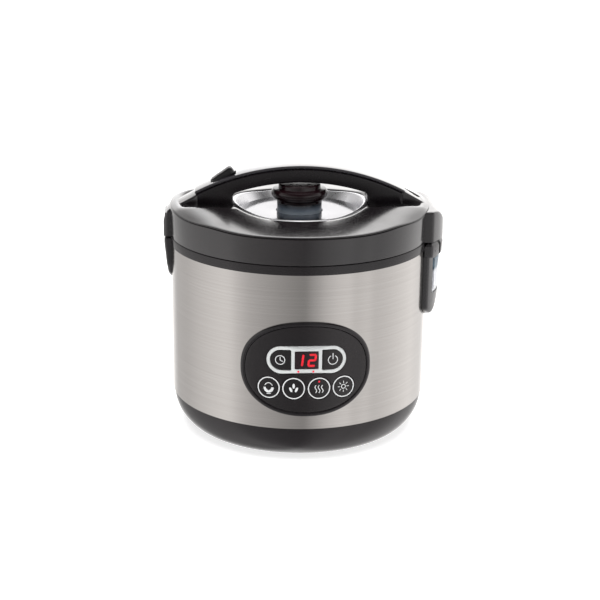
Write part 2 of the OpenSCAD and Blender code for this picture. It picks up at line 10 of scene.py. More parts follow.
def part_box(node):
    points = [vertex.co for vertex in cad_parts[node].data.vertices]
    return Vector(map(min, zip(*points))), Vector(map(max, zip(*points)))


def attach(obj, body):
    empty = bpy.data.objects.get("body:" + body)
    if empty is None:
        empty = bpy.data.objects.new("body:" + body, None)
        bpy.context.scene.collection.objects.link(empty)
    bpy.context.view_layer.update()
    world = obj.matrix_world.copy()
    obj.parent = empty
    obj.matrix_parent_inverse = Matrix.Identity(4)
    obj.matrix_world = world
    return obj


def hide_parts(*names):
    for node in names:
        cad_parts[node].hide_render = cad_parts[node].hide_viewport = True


# Looks of the electric rice cooker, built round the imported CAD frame. Lengths are in
# millimetres from the pot's axis and the floor, and the front faces -Y.
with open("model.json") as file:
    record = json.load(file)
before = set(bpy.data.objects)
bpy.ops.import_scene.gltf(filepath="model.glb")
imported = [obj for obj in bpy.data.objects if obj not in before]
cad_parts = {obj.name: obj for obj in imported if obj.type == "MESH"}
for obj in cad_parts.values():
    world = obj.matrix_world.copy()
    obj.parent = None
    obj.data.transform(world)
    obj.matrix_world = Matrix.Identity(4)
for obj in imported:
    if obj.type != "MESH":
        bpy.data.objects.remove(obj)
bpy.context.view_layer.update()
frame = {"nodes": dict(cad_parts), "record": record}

MM = 0.001
pot_lo, pot_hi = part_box("cooking_pot")
AXIS = Vector(((pot_lo.x + pot_hi.x) / 2, 0, 0))


def span(node):
    """Lowest and highest corner of a CAD node, in millimetres from the pot's axis."""
    low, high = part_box(node)
    return (low - AXIS) / MM, (high - AXIS) / MM


def middle_z(node):
    return (span(node)[0].z + span(node)[1].z) / 2


# ---------------------------------------------------------------- sizes from the frame

# Drum, collar, and the ledge inside it that carries the liner
drum_low, drum_high = span("body_shell")
BODY_R, BODY_Z0, BODY_Z1 = drum_high.x, drum_low.z, drum_high.z
COLLAR_R, _, COLLAR_Z1 = span("rim_collar")[1]
BASE_FOOT_R = 106
STEEL_T = 0.7
LEDGE_Z = 187.5
INLET_Z = middle_z("power_inlet")

# Lid: its side wall, the crease on top of it, and the saddle round the polished recess
LID_Z0, COVER_Z = (corner.z for corner in span("lid_ring"))
RIM_R = COLLAR_R - 0.3
CREASE_Z = COVER_Z + 0.8
SADDLE_LOW = CREASE_Z - 2
SADDLE_RISE = 8.3
RECESS_R = 66
DISC_R, _, DISC_Z = span("center_disc")[1]
DISH_Z = DISC_Z + 2
VALVE_R = span("steam_valve_body")[1].x
CAP_R, _, CAP_Z1 = span("steam_valve_cap")[1]
CAP_Z0 = span("steam_valve_cap")[0].z

# Handle: an arch about ARCH_Z, in two layers, with the tilted release button through it
LIP_X, HANDLE_HALF, HANDLE_TOP = span("handle_cover")[1]
ARCH_R = 220
ARCH_Z = HANDLE_TOP - ARCH_R
STRIP_T, GRIP_T = 3, 16.5
PRESS_TILT, PRESS_X, PRESS_Z = 36, -74, 246.4

# Hinge side: the bulge of housing and cover, the tank's pocket and the two hinge arms
HINGE_OUT, CHEEK_Y, SEAM_Z = span("hinge_housing")[1]
SEAM_GAP = 0.6
HINGE_LOW_OUT = span("condensate_collector")[1].x
CHEEK_X = 125
BULGE_R = (CHEEK_Y**2 + (HINGE_OUT - CHEEK_X) ** 2) / (2 * (HINGE_OUT - CHEEK_X))
PIN_X, PIN_Z = [(a + b) / 2 for a, b in zip(*span("hinge_pin"))][::2]
TANK_Z0, TANK_Z1 = span("condensate_collector")[0].z + 1, 173.6
ARMS_Y = (-30, 30)

# Latch side, and the tongues that climb from both sides to the handle
LATCH_OUT, LATCH_HALF = -span("latch_cover")[0].x, span("latch_cover")[1].y
RAMP_X = 102.2
TONGUE_Z0 = 215

# Panel: radii from the pot's axis, then its outline, display and buttons
BEZEL_R = -span("panel_bezel")[0].y
FACE_R = BEZEL_R - 0.7
FRAME_R = FACE_R + 0.3
PANEL_BACK_R = 125.05
STEM_END = 115
BEZEL_W = 4
CLEAR = 0.3
PRINT_H = 0.06
PANEL_MID_Z = 92.5
PANEL_HALF_W, _, panel_top = span("panel_bezel")[1]
PANEL_UP, PANEL_DOWN = panel_top - PANEL_MID_Z, PANEL_MID_Z - span("panel_bezel")[0].z
PILL_HALF_W, _, pill_top = span("display_frame")[1]
PILL_Z = middle_z("display_frame")
PILL_HALF_H = pill_top - PILL_Z
WINDOW_HALF_W, WINDOW_HALF_H = 11, 8.7
D_INNER_X, D_HALF_H, D_ANGLE = 14.4, 9.6, 10.8
ROUND_Z = middle_z("steam_button")
ROUND_R = span("steam_button")[1].z - ROUND_Z
ROUND_ANGLES = (-15.8, -5.3, 5.3, 15.8)

# Camera: degrees about the pot's axis, then its own turns, and its lens
CAMERA_AZIMUTH, CAMERA_DISTANCE, CAMERA_HEIGHT = -3.7, 1306, 538.4
CAMERA_PAN, CAMERA_TIP, CAMERA_ROLL = -0.07, 17.75, 0.61
CAMERA_LENS, CAMERA_SENSOR = 82.7, 36

# The CAD body that each node belongs to
BODIES = frame["record"]["behaviour"]["bodies"]
BODY_OF = {node: body for body, nodes in BODIES.items() for node in nodes}

# Brightness of the studio round the cooker, by azimuth: 0 behind the camera, 90 to the right
BRIGHTEST = 2.0
STUDIO = [
    (-180, 2.0), (-166, 1.3), (-148, 0.64), (-122, 0.67), (-103, 0.82), (-87, 0.93), (-73, 1.0),
    (-66, 0.97), (-60, 0.82), (-48, 0.64), (-36, 0.55), (-25, 0.48), (-14, 0.41), (-3, 0.35),
    (3, 0.32), (8, 0.46), (14, 0.55), (19, 0.68), (25, 0.77), (31, 0.86), (42, 0.95), (48, 0.81),
    (61, 0.92), (68, 0.8), (82, 0.87), (98, 1.0), (118, 1.15), (130, 1.03), (147, 0.95),
    (165, 1.8), (180, 2.0),
]


# ---------------------------------------------------------------- shape tools


def smooth01(value, start, end):
    """0 up to start, 1 from end on, and a soft step between them."""
    t = min(1.0, max(0.0, (value - start) / (end - start)))
    return t * t * (3 - 2 * t)


def polar(radius, degrees):
    """The point at this radius and angle about the origin."""
    a = math.radians(degrees)
    return radius * math.cos(a), radius * math.sin(a)


def along(points, x):
    """Height of a chain of (x, height) points at x, straight between them."""
    for (x0, z0), (x1, z1) in zip(points, points[1:]):
        if x <= x1:
            return z0 + (z1 - z0) * max(0.0, (x - x0) / (x1 - x0))
    return points[-1][1]


def rounded(points, radius=0, steps=4):
    """A closed outline with its corners rounded; a third value is a corner's own radius."""
    made = []
    for i, point in enumerate(points):
        p = Vector(point[:2])
        a = Vector(points[i - 1][:2]) - p
        b = Vector(points[(i + 1) % len(points)][:2]) - p
        half = a.angle(b) / 2
        r = point[2] if len(point) > 2 else radius
        if r <= 0 or half > math.radians(86):
            made.append(tuple(p))
            continue
        reach = min(r / math.tan(half), 0.48 * a.length, 0.48 * b.length)
        r = reach * math.tan(half)
        start, end = p + a.normalized() * reach, p + b.normalized() * reach
        centre = p + (a.normalized() + b.normalized()).normalized() * (r / math.sin(half))
        for k in range(steps + 1):
            ray = (start - centre).lerp(end - centre, k / steps)
            made.append(tuple(centre + ray.normalized() * r))
    return made


def inset(outline, distance):
    """The outline moved inwards by distance, each point along the mean of its edges' normals."""
    n = len(outline)
    area = sum(
        outline[i - 1][0] * outline[i][1] - outline[i][0] * outline[i - 1][1] for i in range(n)
    )
    side = 1 if area > 0 else -1
    made = []
    for i in range(n):
        p, before, after = (Vector(outline[k]) for k in (i, i - 1, (i + 1) % n))
        a, b = (p - before).normalized(), (after - p).normalized()
        normal = Vector((-a.y - b.y, a.x + b.x)).normalized() * side
        stretch = max(0.5, normal.dot(Vector((-a.y, a.x)) * side))
        made.append(tuple(p + normal * (distance / stretch)))
    return made


def round_ends(line, radius):
    """The line's points as corners for rounded, with a radius at both ends."""
    return [(*line[0], radius), *line[1:-1], (*line[-1], radius)]


def circle(radius, centre=(0, 0), count=48):
    rays = (polar(radius, 360 * k / count) for k in range(count))
    return [(centre[0] + dx, centre[1] + dy) for dx, dy in rays]


def arc_line(radius, start, end, centre=(0, 0), count=20):
    """Points along an arc from start to end, in degrees."""
    rays = (polar(radius, start + (end - start) * k / count) for k in range(count + 1))
    return [(centre[0] + dx, centre[1] + dy) for dx, dy in rays]


def inside(point, outline):
    """Whether the point lies inside a closed outline."""
    x, y = point
    found = False
    for (x0, y0), (x1, y1) in zip(outline, outline[1:] + outline[:1]):
        if (y0 > y) != (y1 > y) and x < (x1 - x0) * (y - y0) / (y1 - y0) + x0:
            found = not found
    return found


def rim(edge, steps=3):
    """Quarter-round edge: (inset, depth) from the flat front to the straight side."""
    if not edge:
        return [(0, 0)]
    turns = [math.radians(90 * k / steps) for k in range(steps + 1)]
    return [(edge * (1 - math.sin(a)), edge * (1 - math.cos(a))) for a in turns]


class Shape:
    """Vertices and faces of one piece, each face with the number of its material."""

    def __init__(self):
        self.verts, self.faces, self.paint = [], [], []

    def add(self, verts, faces, paint=0):
        first = len(self.verts)
        self.verts += [tuple(v) for v in verts]
        self.faces += [tuple(i + first for i in f) for f in faces]
        self.paint += [paint] * len(faces)
        return self

    def skin(self, rows, closed=False, paint=0):
        """Quads between rings of points; closed joins the last ring to the first."""
        n = len(rows[0])
        faces = []
        for i in range(len(rows) if closed else len(rows) - 1):
            a, b = i * n, (i + 1) % len(rows) * n
            for k in range(n):
                j = (k + 1) % n
                faces.append((a + k, a + j, b + j, b + k))
        return self.add([p for row in rows for p in row], faces, paint)

    def fill(self, loops, place, spacing=None, paint=0):
        """Triangles inside the first loop and outside the others, laid on place(u, v)."""
        points, edges = [], []
        for loop in loops:
            first = len(points)
            points += [Vector(p) for p in loop]
            edges += [(first + k, first + (k + 1) % len(loop)) for k in range(len(loop))]
        if spacing:
            us, vs = [p[0] for p in loops[0]], [p[1] for p in loops[0]]
            border = list(points)
            for i in range(int((max(us) - min(us)) / spacing) + 1):
                for k in range(int((max(vs) - min(vs)) / spacing) + 1):
                    p = Vector((min(us) + (i + 0.5) * spacing, min(vs) + (k + 0.5) * spacing))
                    near = min((p - q).length_squared for q in border)
                    if near > (0.45 * spacing) ** 2 and inside(p, loops[0]):
                        if not any(inside(p, hole) for hole in loops[1:]):
                            points.append(p)
        made = delaunay_2d_cdt(points, edges, [], 0, 1e-5)
        faces = []
        for face in made[2]:
            middle = sum((made[0][i] for i in face), Vector((0, 0))) / len(face)
            if inside(middle, loops[0]) and not any(inside(middle, h) for h in loops[1:]):
                faces.append(face)
        return self.add([place(v.x, v.y) for v in made[0]], faces, paint)

    def crust(self, outline, rings, holes=(), spacing=None, paint=0):
        """A closed skin over an outline. Each ring is (inset, place), from front cap to back."""
        loops = [(list(outline), 1)] + [(list(hole), -1) for hole in holes]
        rows = [[inset(loop, d * side) if d else loop for d, _ in rings] for loop, side in loops]
        for chain in rows:
            self.skin([[r[1](*p) for p in row] for row, r in zip(chain, rings)], paint=paint)
        for end in (0, -1):
            self.fill([chain[end] for chain in rows], rings[end][1], spacing, paint)
        return self

    def turned(self, profile, count=180, centre=(0, 0)):
        """A closed outline of (radius, height) points, or a function of the angle, turned."""
        rows = []
        for k in range(count):
            angle = 360 * k / count
            points = profile(angle) if callable(profile) else profile
            c, s = polar(1, angle)
            rows.append([(centre[0] + r * c, centre[1] + r * s, z) for r, z in points])
        return self.skin(rows, closed=True)

    def block(self, outline, low, high, edge, place, steps=3, holes=()):
        """An outline pushed from low to high along the third direction, with rounded rims."""

        def at(depth):
            return lambda u, v: place(u, v, depth)

        rims = rim(edge, steps)
        rings = [(d, at(low + h)) for d, h in rims] + [(d, at(high - h)) for d, h in rims[::-1]]
        return self.crust(outline, rings, holes)

    def spun(self, degrees):
        """The whole shape turned about the pot's axis."""
        c, s = polar(1, degrees)
        self.verts = [(x * c - y * s, x * s + y * c, z) for x, y, z in self.verts]
        return self


def new_object(name, shape):
    mesh = bpy.data.meshes.new(name)
    mesh.from_pydata([AXIS + Vector(v) * MM for v in shape.verts], [], shape.faces)
    mesh.polygons.foreach_set("material_index", shape.paint)
    grid = bmesh.new()
    grid.from_mesh(mesh)
    bmesh.ops.remove_doubles(grid, verts=grid.verts, dist=2e-6)
    bmesh.ops.dissolve_degenerate(grid, edges=grid.edges, dist=1e-6)
    bmesh.ops.recalc_face_normals(grid, faces=grid.faces)
    grid.to_mesh(mesh)
    grid.free()
    made = bpy.data.objects.new(name, mesh)
    bpy.context.scene.collection.objects.link(made)
    return made


def carve(target, shape):
    """Cuts shape out of the target's mesh."""
    cutter = new_object("cutter", shape)
    cut = target.modifiers.new("cut", "BOOLEAN")
    cut.object, cut.operation, cut.solver = cutter, "DIFFERENCE", "EXACT"
    cut.use_self = True
    done = target.evaluated_get(bpy.context.evaluated_depsgraph_get())
    mesh = bpy.data.meshes.new_from_object(done)
    target.modifiers.clear()
    target.data = mesh
    bpy.data.objects.remove(cutter)


def piece(node, shape, paints, cuts=(), sharp=32):
    """The skin that stands for one CAD node: it has the node's body and material slot."""
    made = new_object(node + "_skin", shape)
    for cut in cuts:
        carve(made, cut)
    for paint in paints:
        made.data.materials.append(paint)
    made.data.shade_smooth()
    made.data.set_sharp_from_angle(angle=math.radians(sharp))
    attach(made, BODY_OF[node])
    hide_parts(node)
    return made


def flat(u, v, depth):
    """Outline in X and Y, pushed along Z."""
    return u, v, depth


def sideways(u, v, depth):
    """Outline in X and Z, pushed along Y."""
    return u, depth, v


def endways(u, v, depth):
    """Outline in Y and Z, pushed along X."""
    return depth, u, v


def lifted(surface, h=0.0):
    """Lays an outline on a surface, raised by h: a height, or a function of x and y."""
    if callable(surface):
        return lambda x, y: (x, y, surface(x, y) + h)
    return lambda x, y: (x, y, surface + h)


# ---------------------------------------------------------------- materials


class Graph:
    """A node tree that is built up node by node."""

    def __init__(self, tree):
        self.nodes, self.links = tree.nodes, tree.links

    def node(self, kind, **settings):
        made = self.nodes.new(kind)
        for key, value in settings.items():
            setattr(made, key, value)
        return made

    def link(self, output, target):
        self.links.new(output, target)
        return self

    def spread(self, value, low, high, start=0.3, end=0.7):
        """A value carried from start and end to low and high."""
        made = self.node("ShaderNodeMapRange")
        for key, number in zip(("From Min", "From Max", "To Min", "To Max"), (start, end, low, high)):
            made.inputs[key].default_value = number
        self.link(value, made.inputs["Value"])
        return made.outputs["Result"]

    def ramp(self, value, stops):
        """The colour for a value: stops are (place from 0 to 1, colour)."""
        made = self.node("ShaderNodeValToRGB")
        marks = made.color_ramp.elements
        marks.remove(marks[1])
        marks[0].position, marks[0].color = stops[0][0], (*stops[0][1], 1)
        for place, colour in stops[1:]:
            marks.new(place).color = (*colour, 1)
        self.link(value, made.inputs["Fac"])
        return made.outputs["Color"]


class Paint(Graph):
    """One procedural material on a Principled shader, textured in object coordinates."""

    def __init__(self, name, colour, roughness, **constants):
        self.material = bpy.data.materials.new(name)
        self.material.use_nodes = True
        super().__init__(self.material.node_tree)
        self.shader = self.nodes["Principled BSDF"]
        self.set("Base Color", (*colour, 1))
        self.set("Roughness", roughness)
        for key, value in constants.items():
            self.set(key.replace("_", " "), value)
        self.coord = self.node("ShaderNodeTexCoord").outputs["Object"]

    def set(self, name, value):
        self.shader.inputs[name].default_value = value

    def stretched(self, scale):
        """Coordinates scaled apart along X, Y and Z."""
        mapping = self.node("ShaderNodeMapping")
        mapping.inputs["Scale"].default_value = scale
        self.link(self.coord, mapping.inputs["Vector"])
        return mapping.outputs["Vector"]

    def noise(self, scale, detail=2.0, vector=None):
        made = self.node("ShaderNodeTexNoise")
        made.inputs["Scale"].default_value = scale
        made.inputs["Detail"].default_value = detail
        self.link(vector or self.coord, made.inputs["Vector"])
        return made.outputs["Fac"]

    def mottle(self, other, scale, vector=None):
        """The base colour drifts towards another colour."""
        mix = self.node("ShaderNodeMix", data_type="RGBA")
        mix.inputs["A"].default_value = self.shader.inputs["Base Color"].default_value
        mix.inputs["B"].default_value = (*other, 1)
        fac = self.spread(self.noise(scale, 3, vector), 0, 1, 0.35, 0.65)
        self.link(fac, mix.inputs["Factor"])
        return self.link(mix.outputs["Result"], self.shader.inputs["Base Color"])

    def wear(self, low, high, scale, vector=None):
        """The roughness drifts between low and high."""
        value = self.spread(self.noise(scale, 4, vector), low, high)
        return self.link(value, self.shader.inputs["Roughness"])

    def grain(self, scale, height, vector=None, detail=2.0):
        """A fine bump, height in millimetres."""
        bump = self.node("ShaderNodeBump")
        bump.inputs["Strength"].default_value = 1.0
        bump.inputs["Distance"].default_value = height * MM
        self.link(self.noise(scale, detail, vector), bump.inputs["Height"])
        return self.link(bump.outputs["Normal"], self.shader.inputs["Normal"])


def moulded(name, colour, other, low=0.12, high=0.2, **more):
    """Glossy moulded plastic: a slow colour drift, faint smears and a fine orange peel."""
    paint = Paint(name, colour, (low + high) / 2, IOR=1.52, **more)
    paint.mottle(other, 9).wear(low, high, 60).grain(420, 0.004)
    return paint.material


def satin(name, colour, other, low=0.35, high=0.5, texture=0.03, scale=1600, **more):
    """Matt moulded plastic or rubber with an eroded, fine-grained surface."""
    paint = Paint(name, colour, (low + high) / 2, **more)
    paint.mottle(other, 14).wear(low, high, 120).grain(scale, texture)
    return paint.material


def metal(name, colour, other, low=0.2, high=0.35, scale=700, texture=0.004, **more):
    """Plain machined or pressed metal with cloudy tarnish."""
    paint = Paint(name, colour, (low + high) / 2, Metallic=1.0, **more)
    paint.mottle(other, 25).wear(low, high, 90).grain(scale, texture)
    return paint.material


def brushed_steel():
    """Steel sheet brushed round the drum: long fine lines, cloudy in its roughness."""
    paint = Paint("brushed_steel", (0.63, 0.605, 0.585), 0.22, Metallic=1.0, Anisotropic=0.8)
    paint.set("Anisotropic Rotation", 0.25)
    lines = paint.stretched((3, 3, 2600))
    paint.mottle((0.58, 0.555, 0.535), 1.0, lines)
    paint.wear(0.18, 0.25, 1.3, paint.stretched((5, 5, 1500)))
    paint.grain(1.0, 0.002, lines, 3)
    tangent = paint.node("ShaderNodeTangent", direction_type="RADIAL", axis="Z")
    paint.link(tangent.outputs["Tangent"], paint.shader.inputs["Tangent"])
    return paint.material


def spun_disc(name, colour, low, high):
    """Polished sheet with fine turning marks about the pot's axis."""
    paint = Paint(name, colour, (low + high) / 2, Metallic=1.0, Anisotropic=0.5)
    paint.set("Anisotropic Rotation", 0.25)
    centred = paint.node("ShaderNodeMapping")
    centred.inputs["Location"].default_value = (-AXIS.x, 0, 0)
    paint.link(paint.coord, centred.inputs["Vector"])
    rings = paint.node("ShaderNodeTexWave", wave_type="RINGS", rings_direction="Z")
    rings.inputs["Scale"].default_value = 260
    rings.inputs["Distortion"].default_value = 1.5
    paint.link(centred.outputs["Vector"], rings.inputs["Vector"])
    paint.link(paint.spread(rings.outputs["Fac"], low, high, 0, 1), paint.shader.inputs["Roughness"])
    paint.mottle((colour[0] * 0.94, colour[1] * 0.94, colour[2] * 0.95), 30)
    tangent = paint.node("ShaderNodeTangent", direction_type="RADIAL", axis="Z")
    paint.link(tangent.outputs["Tangent"], paint.shader.inputs["Tangent"])
    return paint.material


def by_height(paint, stops, low, high):
    """Base colour by height: stops are (share of the way from low to high, colour)."""
    split = paint.node("ShaderNodeSeparateXYZ")
    paint.link(paint.coord, split.inputs["Vector"])
    share = paint.spread(split.outputs["Z"], 0, 1, low * MM, high * MM)
    paint.link(paint.ramp(share, stops), paint.shader.inputs["Base Color"])


def valve_painted_light():
    """Smoky translucent plastic, darkest under the cap: a painted shadow of the cap near black at the top,
    and a painted reflection of the bright disc, pale blue, at the foot.
    """
    paint = Paint("valve_smoke", (0.3, 0.36, 0.42), 0.16, IOR=1.5, Transmission_Weight=0.35)
    # Painted light by height: the pale stop is a painted reflection of the disc, the dark stop a painted
    # shadow of the cap.
    stops = [(0.1, (0.6, 0.69, 0.78)), (0.5, (0.26, 0.32, 0.4)), (0.95, (0.02, 0.025, 0.035))]
    by_height(paint, stops, DISC_Z, CAP_Z0)
    paint.wear(0.1, 0.22, 80).grain(300, 0.01)
    return paint.material


def clear_tank():
    """Milky clear plastic of the condensate collector, darker across its upper part."""
    paint = Paint("clear_plastic", (0.85, 0.87, 0.9), 0.12, IOR=1.49, Transmission_Weight=0.2)
    stops = [(0.0, (0.86, 0.87, 0.9)), (0.6, (0.84, 0.86, 0.9)), (0.68, (0.16, 0.23, 0.29))]
    by_height(paint, stops, TANK_Z0, TANK_Z1)
    paint.wear(0.08, 0.18, 70).grain(260, 0.01)
    return paint.material


def lamp(name, colour, glow):
    """Lit plastic of a digit or an indicator, a little uneven."""
    paint = Paint(name, colour, 0.35)
    paint.set("Emission Color", (*colour, 1))
    paint.mottle(tuple(c * 0.7 for c in colour), 300)
    strength = paint.spread(paint.noise(180, 2), glow * 0.6, glow)
    paint.link(strength, paint.shader.inputs["Emission Strength"])
    return paint.material


STEEL = brushed_steel()
LID = moulded(
    "lid_plastic", (0.0065, 0.0052, 0.0068), (0.009, 0.0066, 0.0078), 0.16, 0.23,
    Coat_Weight=0.8, Coat_Roughness=0.12,
)
COLLAR = moulded("collar_plastic", (0.007, 0.0058, 0.007), (0.0095, 0.0072, 0.0085))
BASE = moulded("base_plastic", (0.0075, 0.0052, 0.007), (0.0105, 0.007, 0.0085), 0.16, 0.24)
HINGE = moulded("hinge_plastic", (0.008, 0.0066, 0.0086), (0.0105, 0.008, 0.0098), 0.13, 0.2, Coat_Weight=0.6)
HANDLE = moulded("handle_plastic", (0.0042, 0.0036, 0.0052), (0.007, 0.0048, 0.0062), 0.22, 0.3)
STRIP = moulded(
    "handle_top", (0.02, 0.018, 0.023), (0.026, 0.023, 0.028), 0.12, 0.2, Coat_Weight=1.0
)
MIRROR = spun_disc("polished_steel", (0.33, 0.33, 0.345), 0.1, 0.17)
CHROME = metal("trim_chrome", (0.86, 0.86, 0.88), (0.8, 0.8, 0.825), 0.22, 0.3)
VALVE = valve_painted_light()
CAP = moulded("cap_plastic", (0.0055, 0.0035, 0.0045), (0.014, 0.0042, 0.006), 0.1, 0.18)
TANK = clear_tank()
BEZEL = moulded("bezel_plastic", (0.006, 0.0048, 0.006), (0.009, 0.0068, 0.008), 0.09, 0.15)
FILM = moulded("panel_film", (0.007, 0.005, 0.0062), (0.0095, 0.0066, 0.008), 0.18, 0.28)
SILVER = satin("frame_silver", (0.66, 0.68, 0.67), (0.6, 0.62, 0.62), 0.25, 0.36, 0.004, 900)
WINDOW = moulded("window_smoke", (0.012, 0.006, 0.008), (0.02, 0.006, 0.009), 0.06, 0.1)
DIGIT = lamp("digit_red", (0.6, 0.0, 0.012), 0.85)
LED = lamp("led_red", (0.7, 0.006, 0.03), 0.8)
KEY = moulded("panel_button", (0.0065, 0.005, 0.006), (0.009, 0.0068, 0.0078), 0.2, 0.3)
PRESS = satin("button_black", (0.004, 0.004, 0.005), (0.007, 0.006, 0.007), 0.24, 0.34, 0.01)
PRINT = satin("white_print", (0.78, 0.79, 0.79), (0.68, 0.69, 0.7), 0.4, 0.55, 0.002)
POT = satin("pot_coating", (0.035, 0.036, 0.039), (0.055, 0.056, 0.06), 0.3, 0.42, 0.02, 900)
LINER = metal("liner_metal", (0.6, 0.6, 0.6), (0.5, 0.5, 0.5), 0.3, 0.45)
TRAY = satin("tray_plastic", (0.52, 0.52, 0.53), (0.46, 0.46, 0.47))
GASKET = satin("gasket_silicone", (0.7, 0.7, 0.68), (0.62, 0.62, 0.6), 0.4, 0.55, 0.01)
RUBBER = satin("foot_rubber", (0.012, 0.012, 0.013), (0.02, 0.02, 0.02), 0.6, 0.8, 0.04)
INLET = satin("inlet_plastic", (0.014, 0.014, 0.015), (0.02, 0.02, 0.021))
BRASS = metal("pin_brass", (0.7, 0.52, 0.25), (0.58, 0.42, 0.2))
BOARD = satin("board_green", (0.02, 0.11, 0.045), (0.016, 0.085, 0.035), 0.3, 0.45, 0.01)
CAST = metal("cast_plate", (0.5, 0.5, 0.51), (0.4, 0.4, 0.41), 0.4, 0.6, 1500, 0.02)
HEATER = satin("heater_band", (0.28, 0.25, 0.21), (0.22, 0.19, 0.16))
SPRING = metal("spring_steel", (0.62, 0.62, 0.63), (0.5, 0.5, 0.52))
SENSOR = metal("sensor_metal", (0.66, 0.66, 0.67), (0.56, 0.56, 0.58))
CERAMIC = satin("ceramic", (0.74, 0.71, 0.63), (0.66, 0.62, 0.55), 0.35, 0.5, 0.01)
FASTENER = metal("fastener_steel", (0.56, 0.56, 0.57), (0.45, 0.45, 0.47))
BASE_PLATE = satin("base_underside", (0.02, 0.019, 0.021), (0.027, 0.025, 0.027))

# CAD nodes whose own shape is shown, with the material that each gets
KEPT = {
    "base_plate": BASE_PLATE,
    "base_screws": FASTENER,
    "keep_warm_heater": HEATER,
    "heating_plate": CAST,
    "sensor_guide": LINER,
    "thermostat_spring": SPRING,
    "thermostat_sensor": SENSOR,
    "thermal_fuse": CERAMIC,
    "power_board": BOARD,
    "inlet_pins": BRASS,
    "hinge_pin": FASTENER,
    "hinge_spring": SPRING,
    "display_module": INLET,
    "circuit_board": BOARD,
    "tact_switches": FASTENER,
    "lid_screws": FASTENER,
    "latch_hook": FASTENER,
    "valve_seat": GASKET,
    "handle_screws": FASTENER,
}
for node, paint in KEPT.items():
    frame["nodes"][node].data.materials.clear()
    frame["nodes"][node].data.materials.append(paint)


# ---------------------------------------------------------------- base and drum


def rubber_feet():
    """Four feet, each with a hollow in the middle of its sole."""
    high = span("rubber_feet")[1]
    ring = (high.x - 9) / math.cos(math.radians(45))
    profile = rounded([(0.01, 0.9, 0), (5.2, 0.9), (6, 0), (9, 0), (9, 3), (0.01, 3, 0)], 0.6)
    shape = Shape()
    for k in range(4):
        shape.turned(profile, 40, polar(ring, 45 + 90 * k))
    piece("rubber_feet", shape, [RUBBER])


def base_shell():
    """The dark foot of the drum: a bowl that is open above, on a flat rim."""
    low, steps = span("base_shell")[0].z, 22
    outer = []
    for k in range(steps + 1):
        share = (k / steps) ** 1.7
        bulge = math.sin(math.radians(90 * share**0.7))
        radius = BASE_FOOT_R + (BODY_R - 1.1 - BASE_FOOT_R) * bulge
        outer.append((radius, low + (BODY_Z0 - low) * share))
    outer[0] = (BASE_FOOT_R - 0.5, low)
    inner = [(r - 2.4, z) for r, z in outer[:9:-1]]
    foot = [(104, 7.5), (86, 7.5), (86, 5.6), (100, 5.6), (100, low)]
    piece("base_shell", Shape().turned(outer + inner + foot), [BASE])


def panel_outline(grow=0.0):
    """Panel outline in X and Z: flat-topped above its widest line, rounder below."""
    made = []
    for k in range(120):
        c, s = polar(1, 3 * k)
        n, half = (2.3, PANEL_UP) if s >= 0 else (2.2, PANEL_DOWN)
        x = math.copysign(abs(c) ** (2 / n), c)
        z = math.copysign(abs(s) ** (2 / n), s)
        made.append(((PANEL_HALF_W + grow) * x, PANEL_MID_Z + (half + grow) * z))
    return made


def box_outline(half_w, low, high, radius):
    """A rectangle from low to high, centred across, with rounded corners."""
    return rounded([(-half_w, low), (half_w, low), (half_w, high), (-half_w, high)], radius, 6)


def body_shell():
    """The drum: thin sheet, open behind the panel and round the inlet."""
    low, high = BODY_Z0, BODY_Z1
    profile = [(BODY_R - STEEL_T, low), (BODY_R, low), (BODY_R, high), (BODY_R - STEEL_T, high)]
    hole = box_outline(24.2, INLET_Z - 15.2, INLET_Z + 15.2, 2)
    cut = Shape().block(panel_outline(-2), -140, -90, 0, sideways)
    cut.block(hole, 90, 140, 0, sideways)
    made = piece("body_shell", Shape().turned(profile, 240), [STEEL], [cut], sharp=40)
    round_normals(made.data)


def round_normals(mesh):
    """The drum's walls get normals square to its axis, so that reflections run true."""
    normals = [None] * len(mesh.loops)
    for face in mesh.polygons:
        upright = abs(face.normal.z) < 0.1
        radii = [(mesh.vertices[v].co - AXIS).to_2d().length / MM for v in face.vertices]
        mean = sum(radii) / len(radii)
        on_wall = upright and max(abs(r - mean) for r in radii) < 0.05
        for k in face.loop_indices:
            if on_wall:
                ray = (mesh.vertices[mesh.loops[k].vertex_index].co - AXIS).to_2d().normalized()
                outwards = 1 if ray.dot(face.normal.to_2d()) > 0 else -1
                normals[k] = (ray.x * outwards, ray.y * outwards, 0)
            else:
                normals[k] = tuple(face.normal)
    mesh.normals_split_custom_set(normals)


def rim_collar():
    """The ring on the drum's edge, with the ledge for the liner inside."""
    low, high = BODY_Z1, COLLAR_Z1
    profile = [
        (107, low), (122, low), (122, low - 6), (BODY_R - 1, low - 6), (BODY_R - 1, low),
        (COLLAR_R, low, 0.5), (COLLAR_R, high, 0.9), (112, high, 1.2), (112, LEDGE_Z, 0.8), (107, LEDGE_Z),
    ]
    piece("rim_collar", Shape().turned(rounded(profile)), [COLLAR])


def inner_liner():
    """The metal well that the pot stands in, hung on the collar's ledge."""
    profile = [
        (8.5, 36), (96, 36), (100.5, 36.8), (103.6, 39.4), (105.8, 43), (106.9, 47.5),
        (106.9, LEDGE_Z), (111.6, LEDGE_Z), (111.6, LEDGE_Z + 0.8), (106.1, LEDGE_Z + 0.8), (106.1, 48),
        (105, 43.5), (103, 40.1), (100.1, 37.6), (95.7, 36.8), (8.5, 36.8),
    ]
    piece("inner_liner", Shape().turned(profile), [LINER])


